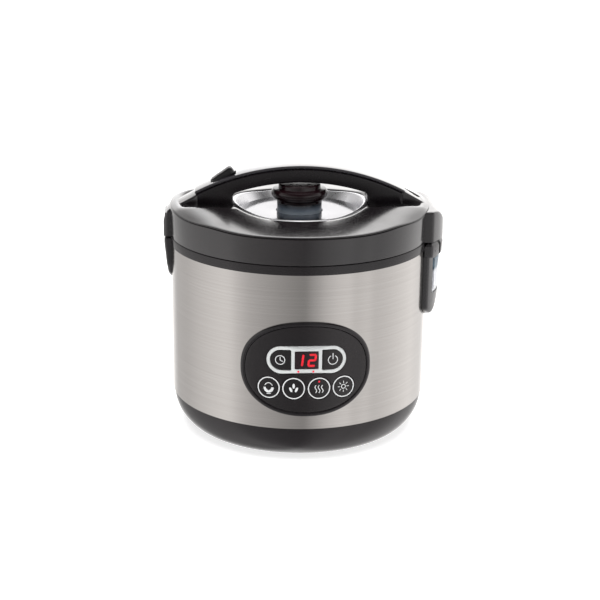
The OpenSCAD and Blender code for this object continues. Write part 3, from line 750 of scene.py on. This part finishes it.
def cooking_pot():
    """Deep-drawn pot: rounded bottom corner, rolled flange and stamped level marks."""
    low, high = span("cooking_pot")[0].z, span("cooking_pot")[1].z
    out, wall, corner = 105, 1.8, 22

    def arc(r):
        """The bottom corner at this radius, from the middle outwards."""
        rays = (polar(r, -90 + 90 * k / 10) for k in range(11))
        return [(out - corner + dx, low + corner + dz) for dx, dz in rays]

    def on_wall(r):
        """Lays an outline in X and Z on the far wall at this radius."""
        return lambda x, z: (x, math.sqrt(r * r - x * x), z)

    outer = [(0.01, low)] + arc(corner) + [(out, high - 3), (out + 0.4, high - 1.9)]
    flange = [(out + 2, high - 1.5), (110.6, high - 1.5), (111.4, high - 1)]
    flange += [(111.3, high - 0.2), (110.6, high)]
    inner = [(out + 0.8, high), (out - 0.8, high - 0.7), (out - wall, high - 2.4)]
    inner += arc(corner - wall)[::-1] + [(0.01, low + wall)]
    shape = Shape().turned(outer + flange + inner)
    for k in range(1, 7):
        z = low + 22 + 17 * k
        half = 5 if k % 2 else 8
        mark = box_outline(half, z, z + 0.8, 0.3)
        rings = [(0, on_wall(out - wall - 0.25)), (0, on_wall(out - wall + 0.3))]
        shape.crust(mark, rings, paint=1)
    piece("cooking_pot", shape, [POT, PRINT])


def power_inlet():
    """The appliance inlet at the back: a flange and a six-sided socket."""
    front, back = span("power_inlet")[1].y, 120.5
    socket = [(-12.2, 8.2), (-12.2, -4.2), (-8.2, -8.2), (8.2, -8.2), (12.2, -4.2), (12.2, 8.2)]
    socket = [(x, z + INLET_Z) for x, z in rounded(socket, 0.8)]
    shape = Shape().block(box_outline(24, INLET_Z - 15, INLET_Z + 15, 3), back, front, 0.9, sideways)
    shape.block(box_outline(16, INLET_Z - 11.5, INLET_Z + 11.5, 1), 107.6, back + 1, 0, sideways)
    cut = Shape().block(socket, 110, 130, 0, sideways)
    piece("power_inlet", shape, [INLET], [cut])


# ---------------------------------------------------------------- hinge and latch


def d_outline(out, inner, narrow=0.0):
    """Plan of a hinge part: bulged outside, flat cheeks, and an arc of radius inner inside."""
    half = CHEEK_Y - narrow
    reach = math.degrees(math.asin(half / (BULGE_R - narrow)))
    bulge = arc_line(BULGE_R - narrow, -reach, reach, (out - BULGE_R, 0), 28)
    turn = math.degrees(math.asin(half / inner))
    return rounded(round_ends(bulge, 3) + arc_line(inner, turn, -turn, count=28))


def hinge_housing():
    """The body's half: a band under the lid's half, and a tapered part that holds the tank."""
    step, top = 175.5, SEAM_Z
    band = d_outline(HINGE_OUT, COLLAR_R + 0.1)
    rings = [(2.9, top), (2.5, top - 0.35), (1.7, top - 1.2), (1.2, top - 2)]
    rings += [(1.0, top - 2.5), (0.4, top - 3.4), (0, top - 4.6), (0, 176.4), (0.3, 175.8), (1, step)]
    shape = Shape().crust(band, [(d, lifted(z)) for d, z in rings])

    def foot(x, y):
        """Underside: it rises outwards under the tank, and towards the cheeks."""
        z = along([(125, 110), (128.5, 112), (131, 116.5), (HINGE_LOW_OUT, 137)], x)
        return z + 14 * (abs(y) / CHEEK_Y) ** 3

    low = d_outline(HINGE_LOW_OUT, BODY_R + 0.2)
    under = [(d, lifted(foot, h)) for d, h in rim(2.2)[::-1]]
    shape.crust(low, [(0, lifted(step + 0.5))] + under, spacing=4)
    pocket = Shape().block(box_outline(60, TANK_Z0, TANK_Z1, 0.01), 127, 150, 0, endways)
    hollow = Shape().block(d_outline(HINGE_OUT, COLLAR_R + 0.6, 4.6), 168, 200, 0, flat)
    slots = Shape()
    for y in ARMS_Y:
        corners = [(120, y - 2.6), (150, y - 2.6), (150, y + 2.6), (120, y + 2.6)]
        slots.block(corners, step + 0.2, 200, 0, flat)
    piece("hinge_housing", shape, [HINGE], [pocket, hollow, slots])


def condensate_collector():
    """The tank: an open cup that fills the housing's pocket."""
    low, high = TANK_Z0 + 0.3, TANK_Z1 - 0.3
    wall, inner = 1.6, span("condensate_collector")[0].x
    centre = HINGE_LOW_OUT - BULGE_R
    reach = math.degrees(math.acos((inner - centre) / BULGE_R))
    outline = rounded(round_ends(arc_line(BULGE_R, -reach, reach, (centre, 0), 36), 3))
    rings = [(wall + 0.7, low + wall + 1), (wall + 0.3, low + wall + 1.3), (wall, low + wall + 2.2)]
    rings += [(wall, high - 0.8), (wall - 0.3, high - 0.2), (wall / 2, high), (0.3, high - 0.2)]
    rings += [(0, high - 0.8), (0, high - 8.6), (0.35, high - 9)]
    rings += [(0.35, low + 1.2), (0.7, low + 0.3), (1.4, low)]
    shape = Shape().crust(outline, [(d, lifted(z)) for d, z in rings])
    piece("condensate_collector", shape, [TANK])


def hinge_top(x, y):
    """Top of the lid's half over the hinge: level with the cover, then falling outwards."""
    start = 118
    t = max(0.0, (x - start) / (HINGE_OUT - start))
    return CREASE_Z + 2 - 16 * t**4


def domed(shape, outline, top, floor, edge, wall=None, ceiling=None):
    """A cover over an outline, open below where wall and ceiling say so."""
    rings = [(d, lifted(top, -h)) for d, h in rim(edge, 5)]
    rings += [(0, lifted(floor, 0.4)), (0.4, lifted(floor))]
    if wall:
        rings += [(wall - 0.3, lifted(floor)), (wall, lifted(floor, 0.3)), (wall, lifted(ceiling))]
    shape.crust(outline, rings, spacing=3.5)


def hinge_cover():
    """The lid's half of the hinge, with its tongue and the two arms that hold the pin."""
    def floor(x, y):
        """Lower edge: cut high next to the lid, so that it clears the housing when open."""
        inner = 1 - smooth01(math.hypot(x, y), 126.5, 131)
        return SEAM_Z + SEAM_GAP + 12 * inner * (1 - smooth01(abs(y), 37, 40))

    shape = Shape()
    domed(shape, d_outline(HINGE_OUT, COLLAR_R - 2.1), hinge_top, floor, 2.4, 2.5, 204)

    def ramp(x, y):
        """Top of the tongue that climbs to the handle's lip."""
        t = max(0.0, (125 - x) / (125 - RAMP_X))
        z = CREASE_Z + 2 + 13.2 * t**1.25 - 1.4 * (y / HANDLE_HALF) ** 2
        return min(z, hinge_top(x, y) - 0.05) if x > 125 else z

    tongue = [(LIP_X - 3.5, -13.6), (128, -14), (128, 14), (LIP_X - 3.5, 13.6)]
    domed(shape, tongue, ramp, TONGUE_Z0, 2.2)
    for y in ARMS_Y:
        root = 205
        eye = arc_line(4.6, 12, 12 - 263, (PIN_X, PIN_Z), 24)
        arm = [(PIN_X + 4.5, root), *eye, (PIN_X - 1.5, root)]
        bore = circle(2.05, (PIN_X, PIN_Z), 32)
        shape.block(arm, y - 2, y + 2, 0.4, sideways, holes=[bore])
    piece("hinge_cover", shape, [LID])


def latch_top(x, y):
    """Top of the latch cover: down from the handle's lip, then over the drum's edge."""
    out = max(0.0, (-x - 118) / (LATCH_OUT - 118))
    up = max(0.0, (123 + x) / (123 - RAMP_X))
    return CREASE_Z + 2 - 12.3 * out**3.5 + 10.7 * up**1.1 - 1.2 * (y / LATCH_HALF) ** 2


def latch_cover():
    """The lid's half of the latch, with its tongue."""
    shape = Shape()
    block = [
        (-LATCH_OUT, LATCH_HALF, 5.5), (-LATCH_OUT, -LATCH_HALF, 5.5),
        (-122.4, -LATCH_HALF, 0.5), (-123.6, 0), (-122.4, LATCH_HALF, 0.5),
    ]
    domed(shape, rounded(block, steps=6), latch_top, SEAM_Z + SEAM_GAP, 2.2, 1.2, 214)
    half = [(3.5 - LIP_X, 13.6), (-RAMP_X, 15.9), (-127, 15.9)]
    tongue = half + [(x, -y) for x, y in half[::-1]]
    domed(shape, tongue, lambda x, y: latch_top(x, y) - 0.04, TONGUE_Z0, 2.2)
    piece("latch_cover", shape, [LID])


def latch_housing():
    """A pointed bar down the drum, with the mouth of the latch in its top."""
    half = [(-16, 190), (-16, 163), (-11, 153), (-4, 148)]
    outline = rounded(half + [(-y, z) for y, z in half[::-1]], 2.5)
    slope = [(148, 126.6), (150, 127.4), (162, 129.6), (182, LATCH_OUT)]

    def front(depth):
        def place(y, z):
            return -(along(slope, z) - depth - 0.9 * (y / LATCH_HALF) ** 2), y, z

        return place

    def back(y, z):
        return -math.sqrt((BODY_R + 0.1) ** 2 - y * y), y, z

    rings = [(d, front(h)) for d, h in rim(2.2, 5)] + [(0, back)]
    shape = Shape().crust(outline, rings, spacing=3.5)
    cut = Shape().block(box_outline(6, 179, 200, 0.8), -130.7, -126, 0, endways)
    piece("latch_housing", shape, [HINGE], [cut])


# ---------------------------------------------------------------- control panel


def on_drum(radius, z=0.0):
    """Lays an outline in X and Z on the drum's front at this radius."""
    return lambda x, h: (x, -math.sqrt(radius * radius - x * x), h + z)


def panel_rings(front, back, edge, z=0.0):
    """Rings of a panel piece from its front radius, with a rounded edge, to its back radius."""
    return [(d, on_drum(front - h, z)) for d, h in rim(edge)] + [(0, on_drum(back, z))]


def pill(half_w, half_h):
    """Outline of the display's frame: straight above and below, with half-round ends."""
    left = arc_line(half_h, 90, 270, (half_h - half_w, PILL_Z))
    return left + arc_line(half_h, -90, 90, (half_w - half_h, PILL_Z))


def d_key(side, grow=0.0):
    """Outline of the button in one end of the pill; side is -1 left or 1 right."""
    half_w, half_h = PILL_HALF_W - 3.3 + grow, D_HALF_H + grow
    end = arc_line(half_h, -90, 90, (half_w - half_h, PILL_Z))
    corners = [(D_INNER_X - grow, PILL_Z + half_h, 1), (D_INNER_X - grow, PILL_Z - half_h, 1)]
    return rounded([(side * x, *more) for x, *more in end + corners])[::side]


def panel_bezel():
    rims = [(1.8, 0), (1.3, 0.12), (0.8, 0.38), (0.4, 0.75), (0.12, 1.2), (0, 1.6)]
    rings = [(d, on_drum(BEZEL_R - h)) for d, h in rims] + [(0, on_drum(PANEL_BACK_R))]
    shape = Shape().crust(panel_outline(), rings, holes=[panel_outline(-BEZEL_W)])
    piece("panel_bezel", shape, [BEZEL])


def round_hole(angle, radius):
    """A round button's hole in the panel face, in X and Z."""
    made = []
    for t, h in circle(radius, count=56):
        turn = math.radians(angle) + math.asin(t / FACE_R)
        made.append((FACE_R * math.sin(turn), ROUND_Z + h))
    return made


def panel_face():
    holes = [pill(PILL_HALF_W + 0.1, PILL_HALF_H + 0.1)]
    holes += [round_hole(a, ROUND_R + CLEAR) for a in ROUND_ANGLES]
    shape = Shape().crust(
        panel_outline(-BEZEL_W - 0.1), panel_rings(FACE_R, PANEL_BACK_R, 0.25), holes, spacing=3.5
    )
    piece("panel_face", shape, [FILM])


def display_frame():
    window = [(x, z + PILL_Z) for x, z in box_outline(WINDOW_HALF_W, -WINDOW_HALF_H, WINDOW_HALF_H, 0.8)]
    holes = [d_key(-1, CLEAR), d_key(1, CLEAR), window]
    shape = Shape().crust(
        pill(PILL_HALF_W, PILL_HALF_H), panel_rings(FRAME_R, PANEL_BACK_R, 0.45), holes, spacing=3
    )
    piece("display_frame", shape, [SILVER])


def display_window():
    glass = box_outline(WINDOW_HALF_W - 0.1, -WINDOW_HALF_H + 0.1, WINDOW_HALF_H - 0.1, 0.8)
    rings = panel_rings(FACE_R - 0.2, PANEL_BACK_R + 0.4, 0.3, PILL_Z)
    piece("display_window", Shape().crust(glass, rings, spacing=3), [WINDOW])


def stroke(points, width):
    """Outline of a line of this width through the points, with round ends."""
    points = [Vector(p) for p in points]
    ways = [(b - a).normalized() for a, b in zip(points, points[1:])]
    before, after = ways[:1] + ways, ways + ways[-1:]
    aside = [(a + b).normalized() for a, b in zip(before, after)]
    aside = [Vector((-w.y, w.x)) * width / 2 for w in aside]
    made = []
    for ends, sides in ((points, aside), (points[::-1], [-s for s in aside[::-1]])):
        made += [end + side for end, side in zip(ends, sides)]
        for k in range(1, 6):
            made.append(ends[-1] + Matrix.Rotation(-math.pi * k / 6, 2) @ sides[-1])
    return [tuple(p) for p in made]


def printed(shape, outline, z, holes=(), paint=1, front=None):
    """A thin printed or lit mark on the panel."""
    top = front or FACE_R + PRINT_H
    shape.crust(outline, [(0, on_drum(top, z)), (0, on_drum(top - 0.3, z))], holes, paint=paint)


def ring_mark(shape, radius, width, z, centre=(0, 0)):
    """A printed ring."""
    printed(shape, circle(radius, centre, 64), z, [circle(radius - width, centre, 64)])


def digit(shape, x, lit):
    """One slanted seven-segment digit; lit names its segments by their ends."""
    half_w, half_h, gap = 2.9, 5.3, 0.75
    corners = {
        "tl": (-half_w, half_h), "tr": (half_w, half_h), "ml": (-half_w, 0), "mr": (half_w, 0),
        "bl": (-half_w, -half_h), "br": (half_w, -half_h),
    }
    for start, end in lit:
        a, b = Vector(corners[start]), Vector(corners[end])
        way = (b - a).normalized() * gap
        ends = [a + way, b - way]
        line = stroke([(x + p.x + 0.12 * p.y, p.y) for p in ends], 2)
        printed(shape, line, PILL_Z, paint=0, front=FACE_R)


def display_digits():
    shape = Shape()
    digit(shape, -6.6, [("tr", "mr"), ("mr", "br")])
    digit(shape, 5, [("tl", "tr"), ("tr", "mr"), ("ml", "mr"), ("ml", "bl"), ("bl", "br")])
    piece("display_digits", shape, [DIGIT])


def indicator_leds():
    shape = Shape()
    rings = [(d, on_drum(FRAME_R + h)) for d, h in ((0.5, 0.25), (0.2, 0.18), (0, -0.1))]
    for x in (-7.6, 6.2):
        shape.crust(circle(1, (x, PILL_Z - 10.8), 24), rings)
    piece("indicator_leds", shape, [LED])


def timer_icon(shape):
    centre = (-24.2, 0)
    ring_mark(shape, 4.6, 0.7, PILL_Z, centre)
    printed(shape, stroke([(-24.2, 2.9), centre], 0.7), PILL_Z)
    printed(shape, stroke([centre, (-24.2 + 2.1, -1.2)], 0.7), PILL_Z)


def power_icon(shape):
    printed(shape, stroke(arc_line(4.3, 122, 418, (24.2, -0.4), 36), 0.75), PILL_Z)
    printed(shape, stroke([(24.2, 0.6), (24.2, 5.6)], 0.8), PILL_Z)


def rice_icon(shape):
    bowl = [(-4.8, 0.2)] + arc_line(4.8, 180, 360, (0, -0.3)) + [(4.8, 0.2)]
    printed(shape, bowl, ROUND_Z)
    printed(shape, stroke(arc_line(3.6, 20, 160, (0, 0.9)), 0.7), ROUND_Z)
    printed(shape, stroke([(-1.6, -5.9), (1.6, -5.9)], 0.7), ROUND_Z)


def grain_icon(shape):
    for x, z, tilt in ((-2.6, -1.2, 25), (2.6, -1.2, -25), (0, 2.4, 0)):
        turn = Matrix.Rotation(math.radians(tilt), 2)
        leaf = [turn @ Vector((1.15 * p[0], 2.5 * p[1])) for p in circle(1, count=28)]
        printed(shape, [(p.x + x, p.y + z) for p in leaf], ROUND_Z)


def steam_icon(shape):
    for x in (-3, 0, 3):
        wave = [(x + 0.8 * polar(1, 22.5 * k)[1], -4.2 + 7 * k / 16) for k in range(17)]
        printed(shape, stroke(wave, 0.7), ROUND_Z)
    printed(shape, circle(0.85, (0, 6.6), 20), ROUND_Z, paint=2, front=FACE_R + 0.12)


def warm_icon(shape):
    ring_mark(shape, 2.3, 0.7, ROUND_Z)
    for k in range(8):
        ray = [polar(r, 45 * k) for r in (3.6, 5.2)]
        printed(shape, stroke(ray, 0.65), ROUND_Z)


def stem(shape, end, z):
    """The button's own stem, from the face's back to its switch."""
    shape.block(circle(2.4, (0, z), 24), -FACE_R + 3, -end, 0, sideways)


def d_button(name, side, icon):
    shape = Shape()
    rings = [(d, on_drum(FACE_R - h)) for d, h in rim(0.5)] + [(0, on_drum(123))]
    shape.crust(d_key(side), rings, spacing=3)
    shaft = Shape()
    stem(shaft, STEM_END / math.cos(math.radians(D_ANGLE)), PILL_Z)
    shaft.spun(side * D_ANGLE)
    shape.add(shaft.verts, shaft.faces)
    icon(shape)
    piece(name, shape, [KEY, PRINT])


def round_button(name, angle, icon):
    """A round button made at the front and turned to its angle about the pot's axis."""

    def back(x, h):
        return x, -123, h + ROUND_Z

    shape = Shape()
    rings = [(d, on_drum(FACE_R - h, ROUND_Z)) for d, h in rim(0.5)]
    shape.crust(circle(ROUND_R, count=56), rings + [(0, back)], spacing=3)
    stem(shape, STEM_END / math.cos(math.radians(angle)), ROUND_Z)
    ring_mark(shape, ROUND_R - 0.5, 1.0, ROUND_Z)
    icon(shape)
    shape.spun(angle)
    piece(name, shape, [KEY, PRINT, LED])


# ---------------------------------------------------------------- lid


def saddle(x):
    """Height of the recess's edge: low at front and back, high beside the handle's legs."""
    return SADDLE_LOW + SADDLE_RISE * smooth01(abs(x), 28, 92)


def cover_height(x, y):
    """Height of the lid: nearly flat in front, high towards hinge and latch, where it falls
    away from a channel along X in which the handle stands."""
    r = math.hypot(x, y)
    side = smooth01(abs(x), 20, 92)
    out = max(0.0, (r - 70) / 52)
    front = CREASE_Z + 0.5 - 0.7 * out * out
    high = SADDLE_LOW + SADDLE_RISE + 1 - 5.7 * (max(0.0, abs(y) - 34) / 61) ** 1.1
    high -= 4.6 * max(0.0, (r - 100) / (BODY_R - 100)) ** 2.5 * smooth01(abs(x), 80, 118)
    channel = smooth01(abs(x), 60, 76) * (1 - smooth01(abs(y), 18, 39))
    deep = 6 * channel * (1 - smooth01(r, 106, 121))
    return front + (high - front) * side - deep


def lid_cover():
    """The saddle-shaped cover, with a rounded rim that ends in a fine groove."""
    radii = [RECESS_R + 4 + 2.7 * k for k in range(20)]
    bend = ((0.25, 0.03), (0.5, 0.13), (0.7, 0.32), (0.85, 0.6), (0.9, 0.9))
    edge = 0.9

    def profile(angle):
        c, s = polar(1, angle)

        def at(r):
            return cover_height(r * c, r * s)

        lip = saddle(RECESS_R * c) + 0.4
        drop = 0.1 if c > 0 and abs(RIM_R * s) < CHEEK_Y - 2 else 1
        top = [(RECESS_R + 0.2, lip - 0.8), (RECESS_R + 0.4, lip)]
        for d, share in ((1.2, 0.5), (2.4, 0.82)):
            top.append((RECESS_R + d, lip + (at(radii[0]) - lip) * share))
        top += [(r, at(r)) for r in radii]
        last = at(RIM_R - edge)
        top += [(RIM_R - edge + d, last - h * drop) for d, h in bend]
        under = [(RIM_R - 0.6, last - 1.3), (RIM_R - 3.4, last - 1.4), (117, at(117) - 2.5)]
        under += [(r, at(r) - 2.5) for r in (108, 100, 92, 84, 76, 70)]
        return top + under + [(RECESS_R + 0.2, lip - 2.6)]

    piece("lid_cover", Shape().turned(profile, 240), [LID])


def lid_ring():
    """The lid's side wall; its rounded top edge follows the cover's rim."""
    wall = 2.5

    def profile(angle):
        c, s = polar(1, angle)
        top = cover_height((RIM_R - 0.9) * c, (RIM_R - 0.9) * s) - 1.45
        corners = [
            (110.5, LID_Z0, 0.4), (COLLAR_R, LID_Z0, 0.7), (COLLAR_R, top, 1.6),
            (COLLAR_R - wall, top, 0.3), (COLLAR_R - wall, LID_Z0 + wall), (110.5, LID_Z0 + wall, 0.4),
        ]
        return rounded(corners, steps=5)

    notch = [(118, -24), (140, -24), (140, 24), (118, 24)]
    cut = Shape().block(notch, LID_Z0 - 1, LID_Z0 + 8, 0, flat)
    piece("lid_ring", Shape().turned(profile, 240), [LID], [cut])


def lid_inner_tray():
    z = span("lid_inner_tray")[0].z
    profile = rounded([(18, z), (121, z), (121, z + 2), (18, z + 2)], 0.6)
    post = [(1.3, z + 1), (3.6, z + 1), (3.3, z + 11), (1.3, z + 11)]
    shape = Shape().turned(profile, 120)
    for k in range(4):
        shape.turned(post, 24, polar(117, 35 + 90 * k))
    piece("lid_inner_tray", shape, [TRAY])


def inner_lid_plate():
    """Dished plate that closes the pot, with six vents."""
    outline = [
        (16, 187.4), (88, 187.4, 3), (96, 192.6, 3), (109, 192.6), (109, 193.6),
        (95.4, 193.6, 3), (87.4, 188.6, 3), (16, 188.6),
    ]
    shape = Shape().turned(rounded(outline, 0.4))
    cut = Shape()
    for k in range(6):
        cut.block(circle(2.2, polar(40, 60 * k), 24), 180, 200, 0, flat)
    piece("inner_lid_plate", shape, [LINER], [cut])


def lid_gasket():
    profile = rounded([(102, 190.2), (109.2, 190.2), (109.2, 192.6), (98, 192.6), (99.5, 191.2)], 0.5)
    piece("lid_gasket", Shape().turned(profile), [GASKET])


def center_disc():
    """The polished dish round the steam valve, with a shallow seat for the valve."""
    low = span("center_disc")[0].z
    outline = [
        (14.6, low, 0.2), (22.4, low), (DISC_R, low, 0.2), (DISC_R, DISH_Z, 0.2),
        (VALVE_R + 0.9, DISH_Z, 0.6), (VALVE_R + 0.4, DISC_Z, 0.3), (14.6, DISC_Z, 0.2),
    ]
    piece("center_disc", Shape().turned(rounded(outline), 240), [MIRROR])


def disc_trim_ring():
    """A chrome bead round the recess, which rises and falls with the saddle."""
    inner, low = 57.2, DISC_Z - 2.6

    def profile(angle):
        z = saddle(RECESS_R * polar(1, angle)[0])
        corners = [
            (inner, low), (RECESS_R - 0.1, low), (RECESS_R - 0.1, z - 2), (RECESS_R + 0.6, z - 0.6, 0.3),
            (RECESS_R + 0.2, z + 0.9, 0.7), (RECESS_R - 2.1, z + 2.5, 1.5), (RECESS_R - 4, z + 1.3, 1.2),
            (inner, DISH_Z + 0.1), (inner, DISC_Z - 0.8),
        ]
        return rounded(corners, steps=5)

    piece("disc_trim_ring", Shape().turned(profile, 240), [CHROME])


def steam_valve():
    """The smoked cup, with painted shade under the cap and a painted reflection of the disc at its foot, and
    its cap, with eight vents in the top.
    """
    low, top = DISC_Z + 0.1, CAP_Z0
    cup = [
        (12.2, 191), (14, 191, 0.5), (14, low), (VALVE_R, low, 1.2), (VALVE_R, top, 0.2),
        (VALVE_R - 1.8, top, 0.2), (VALVE_R - 1.8, low + 2, 1), (12.2, low + 2, 0.4),
    ]
    piece("steam_valve_body", Shape().turned(rounded(cup), 120), [VALVE])
    cap = [
        (0.01, top), (22, top, 0.3), (22.3, top + 2.4, 1.2), (25.6, top + 3.8, 1.5),
        (CAP_R, top + 6.6, 2), (CAP_R, top + 10, 1.8), (25.8, top + 12.6, 1.2),
        (20.5, top + 13.2, 0.8), (20.5, CAP_Z1 - 1.2, 0.4), (19.3, CAP_Z1, 0.6), (0.01, CAP_Z1),
    ]
    shape = Shape().turned(rounded(cap, steps=5), 144)
    cut = Shape()
    for k in range(8):
        cut.block(circle(2.2, polar(12, 45 * k), 24), 220, 250, 0, flat)
    piece("steam_valve_cap", shape, [CAP], [cut])


# ---------------------------------------------------------------- handle


def press_place(u, v, y):
    """Outline in the release button's own tilted axes, pushed along Y."""
    c, s = polar(1, PRESS_TILT)
    return PRESS_X + u * c - v * s, y, PRESS_Z + u * s + v * c


def press_slot():
    """Cutter for the button's slot through the handle."""
    half, deep = 12.4, 8.1
    corners = [(-half, -deep), (half, -deep), (half, 40), (-half, 40)]
    return Shape().block(corners, -7.4, 7.4, 0, press_place)


def arch(radius, start, end, count=64):
    """Points on the handle's arch from x = start to x = end."""
    points = [start + (end - start) * k / count for k in range(count + 1)]
    return [(x, ARCH_Z + math.sqrt(radius * radius - x * x)) for x in points]


def handle_cover():
    """The upper layer: a thin arched strip whose ends reach over the grip as lips."""
    top = arch(ARCH_R, -LIP_X, LIP_X)
    under = arch(ARCH_R - STRIP_T, LIP_X - 1.6, -LIP_X + 1.6)
    outline = rounded(round_ends(top, 1.2) + under)
    shape = Shape().block(outline, -HANDLE_HALF, HANDLE_HALF, 1.1, sideways, 5)
    piece("handle_cover", shape, [STRIP], [press_slot()])


def handle_grip():
    """The arch and its two legs, with soft inner corners."""
    end, leg_in, foot = LIP_X - 1.3, 65, CREASE_Z - 1.2
    low = ARCH_R - GRIP_T
    half = arch(ARCH_R - STRIP_T - 0.1, 0, end, 40)
    half[-1] = (*half[-1], 1)
    half += [(end, foot), (leg_in, foot), (*arch(low, leg_in, leg_in, 1)[0], 5)]
    half += arch(low, leg_in - 7, 0, 30)
    outline = rounded(half + [(-x, *more) for x, *more in half[-2:0:-1]], steps=6)
    shape = Shape().block(outline, -HANDLE_HALF, HANDLE_HALF, 2.2, sideways, 5)
    piece("handle_grip", shape, [HANDLE], [press_slot()])


def release_button():
    """A stubby key with soft corners and five grip ribs."""
    corners = [(-12, -4.5), (12, -4.5), (12, 4.5), (-12, 4.5)]
    shape = Shape().block(rounded(corners, 3.6, 6), -7, 7, 3, press_place, 6)
    for k in range(5):
        u = -9.6 + 2.2 * k
        rib = rounded([(u - 0.6, 4), (u + 0.6, 4), (u + 0.6, 4.95), (u - 0.6, 4.95)], 0.4)
        shape.block(rib, -5.4, 5.4, 0.4, press_place)
    piece("release_button", shape, [PRESS])


# ---------------------------------------------------------------- studio


def camera():
    """The photograph's view: a little above the rim and left of the front."""
    data = bpy.data.cameras.new("camera")
    data.lens, data.sensor_width = CAMERA_LENS, CAMERA_SENSOR
    made = bpy.data.objects.new("camera", data)
    bpy.context.scene.collection.objects.link(made)
    turn = Matrix.Rotation(math.radians(CAMERA_AZIMUTH), 4, "Z")
    aim = Matrix.Rotation(math.radians(CAMERA_AZIMUTH + CAMERA_PAN), 4, "Z")
    tip = Matrix.Rotation(math.radians(90 - CAMERA_TIP), 4, "X")
    roll = Matrix.Rotation(math.radians(CAMERA_ROLL), 4, "Z")
    place = AXIS + turn @ Vector((0, -CAMERA_DISTANCE, CAMERA_HEIGHT)) * MM
    made.matrix_world = Matrix.Translation(place) @ aim @ tip @ roll
    bpy.context.scene.camera = made


def studio_light():
    """White to the eye, and in reflections a soft studio: a dim stretch behind the camera,
    a softbox on either side and a bright background behind the cooker."""
    world = bpy.data.worlds.new("studio")
    bpy.context.scene.world = world
    world.use_nodes = True
    graph = Graph(world.node_tree)
    graph.nodes.clear()
    way = graph.node("ShaderNodeSeparateXYZ")
    graph.link(graph.node("ShaderNodeTexCoord").outputs["Generated"], way.inputs["Vector"])
    flip = graph.node("ShaderNodeMath", operation="MULTIPLY")
    flip.inputs[1].default_value = -1
    graph.link(way.outputs["Y"], flip.inputs[0])
    azimuth = graph.node("ShaderNodeMath", operation="ARCTAN2")
    graph.link(way.outputs["X"], azimuth.inputs[0])
    graph.link(flip.outputs["Value"], azimuth.inputs[1])
    levels = [((degrees + 180) / 360, bright / BRIGHTEST) for degrees, bright in STUDIO]
    stops = [(place, (v, v * 0.985, v * 0.975)) for place, v in levels]
    stops[0] = (0, (levels[0][1],) * 3)
    round_it = graph.ramp(graph.spread(azimuth.outputs["Value"], 0, 1, -math.pi, math.pi), stops)
    heights = ((0.43, 1), (0.7, 0.12), (0.84, 0.12), (0.97, 1))
    upwards = graph.ramp(way.outputs["Z"], [(place, (v, v, v)) for place, v in heights])
    both = graph.node("ShaderNodeMix", data_type="RGBA", blend_type="MULTIPLY")
    both.inputs["Factor"].default_value = 1
    graph.link(round_it, both.inputs["A"]).link(upwards, both.inputs["B"])
    seen, reflected = (graph.node("ShaderNodeBackground") for _ in range(2))
    seen.inputs["Color"].default_value = (1, 1, 1, 1)
    reflected.inputs["Strength"].default_value = BRIGHTEST
    graph.link(both.outputs["Result"], reflected.inputs["Color"])
    mix = graph.node("ShaderNodeMixShader")
    graph.link(graph.node("ShaderNodeLightPath").outputs["Is Camera Ray"], mix.inputs["Fac"])
    graph.link(reflected.outputs["Background"], mix.inputs[1])
    graph.link(seen.outputs["Background"], mix.inputs[2])
    graph.link(mix.outputs["Shader"], graph.node("ShaderNodeOutputWorld").inputs["Surface"])


def overhead_light():
    data = bpy.data.lights.new("overhead", "AREA")
    data.shape, data.size, data.energy = "DISK", 2.4, 46
    made = bpy.data.objects.new("overhead", data)
    made.location = (0, -0.2, 2.2)
    made.visible_glossy = False
    bpy.context.scene.collection.objects.link(made)


def floor():
    """A plain white table, kept out of the drum's reflections."""
    mesh = bpy.data.meshes.new("floor")
    ring = [(x, y, -0.0002) for x, y in circle(6, count=72)]
    mesh.from_pydata(ring, [], [tuple(range(72))])
    made = bpy.data.objects.new("floor", mesh)
    bpy.context.scene.collection.objects.link(made)
    paint = Paint("table_white", (0.93, 0.93, 0.93), 0.7)
    paint.mottle((0.91, 0.91, 0.915), 3)
    paint.set("Emission Color", (1, 1, 1, 1))
    paint.set("Emission Strength", 0.7)
    mesh.materials.append(paint.material)
    made.visible_glossy = False


for make in (
    rubber_feet, base_shell, body_shell, rim_collar, inner_liner, cooking_pot, power_inlet,
    hinge_housing, condensate_collector, hinge_cover, latch_cover, latch_housing,
    panel_bezel, panel_face, display_frame, display_window, display_digits, indicator_leds,
    lid_cover, lid_ring, lid_inner_tray, inner_lid_plate, lid_gasket,
    center_disc, disc_trim_ring, steam_valve, handle_cover, handle_grip, release_button,
):
    make()
d_button("timer_button", -1, timer_icon)
d_button("power_button", 1, power_icon)
ROUND_ICONS = {
    "white_rice_button": rice_icon,
    "brown_rice_button": grain_icon,
    "steam_button": steam_icon,
    "warm_button": warm_icon,
}
for (name, icon), angle in zip(ROUND_ICONS.items(), ROUND_ANGLES):
    round_button(name, angle, icon)

camera()
studio_light()
overhead_light()
floor()
bpy.context.scene.view_settings.view_transform = "Standard"
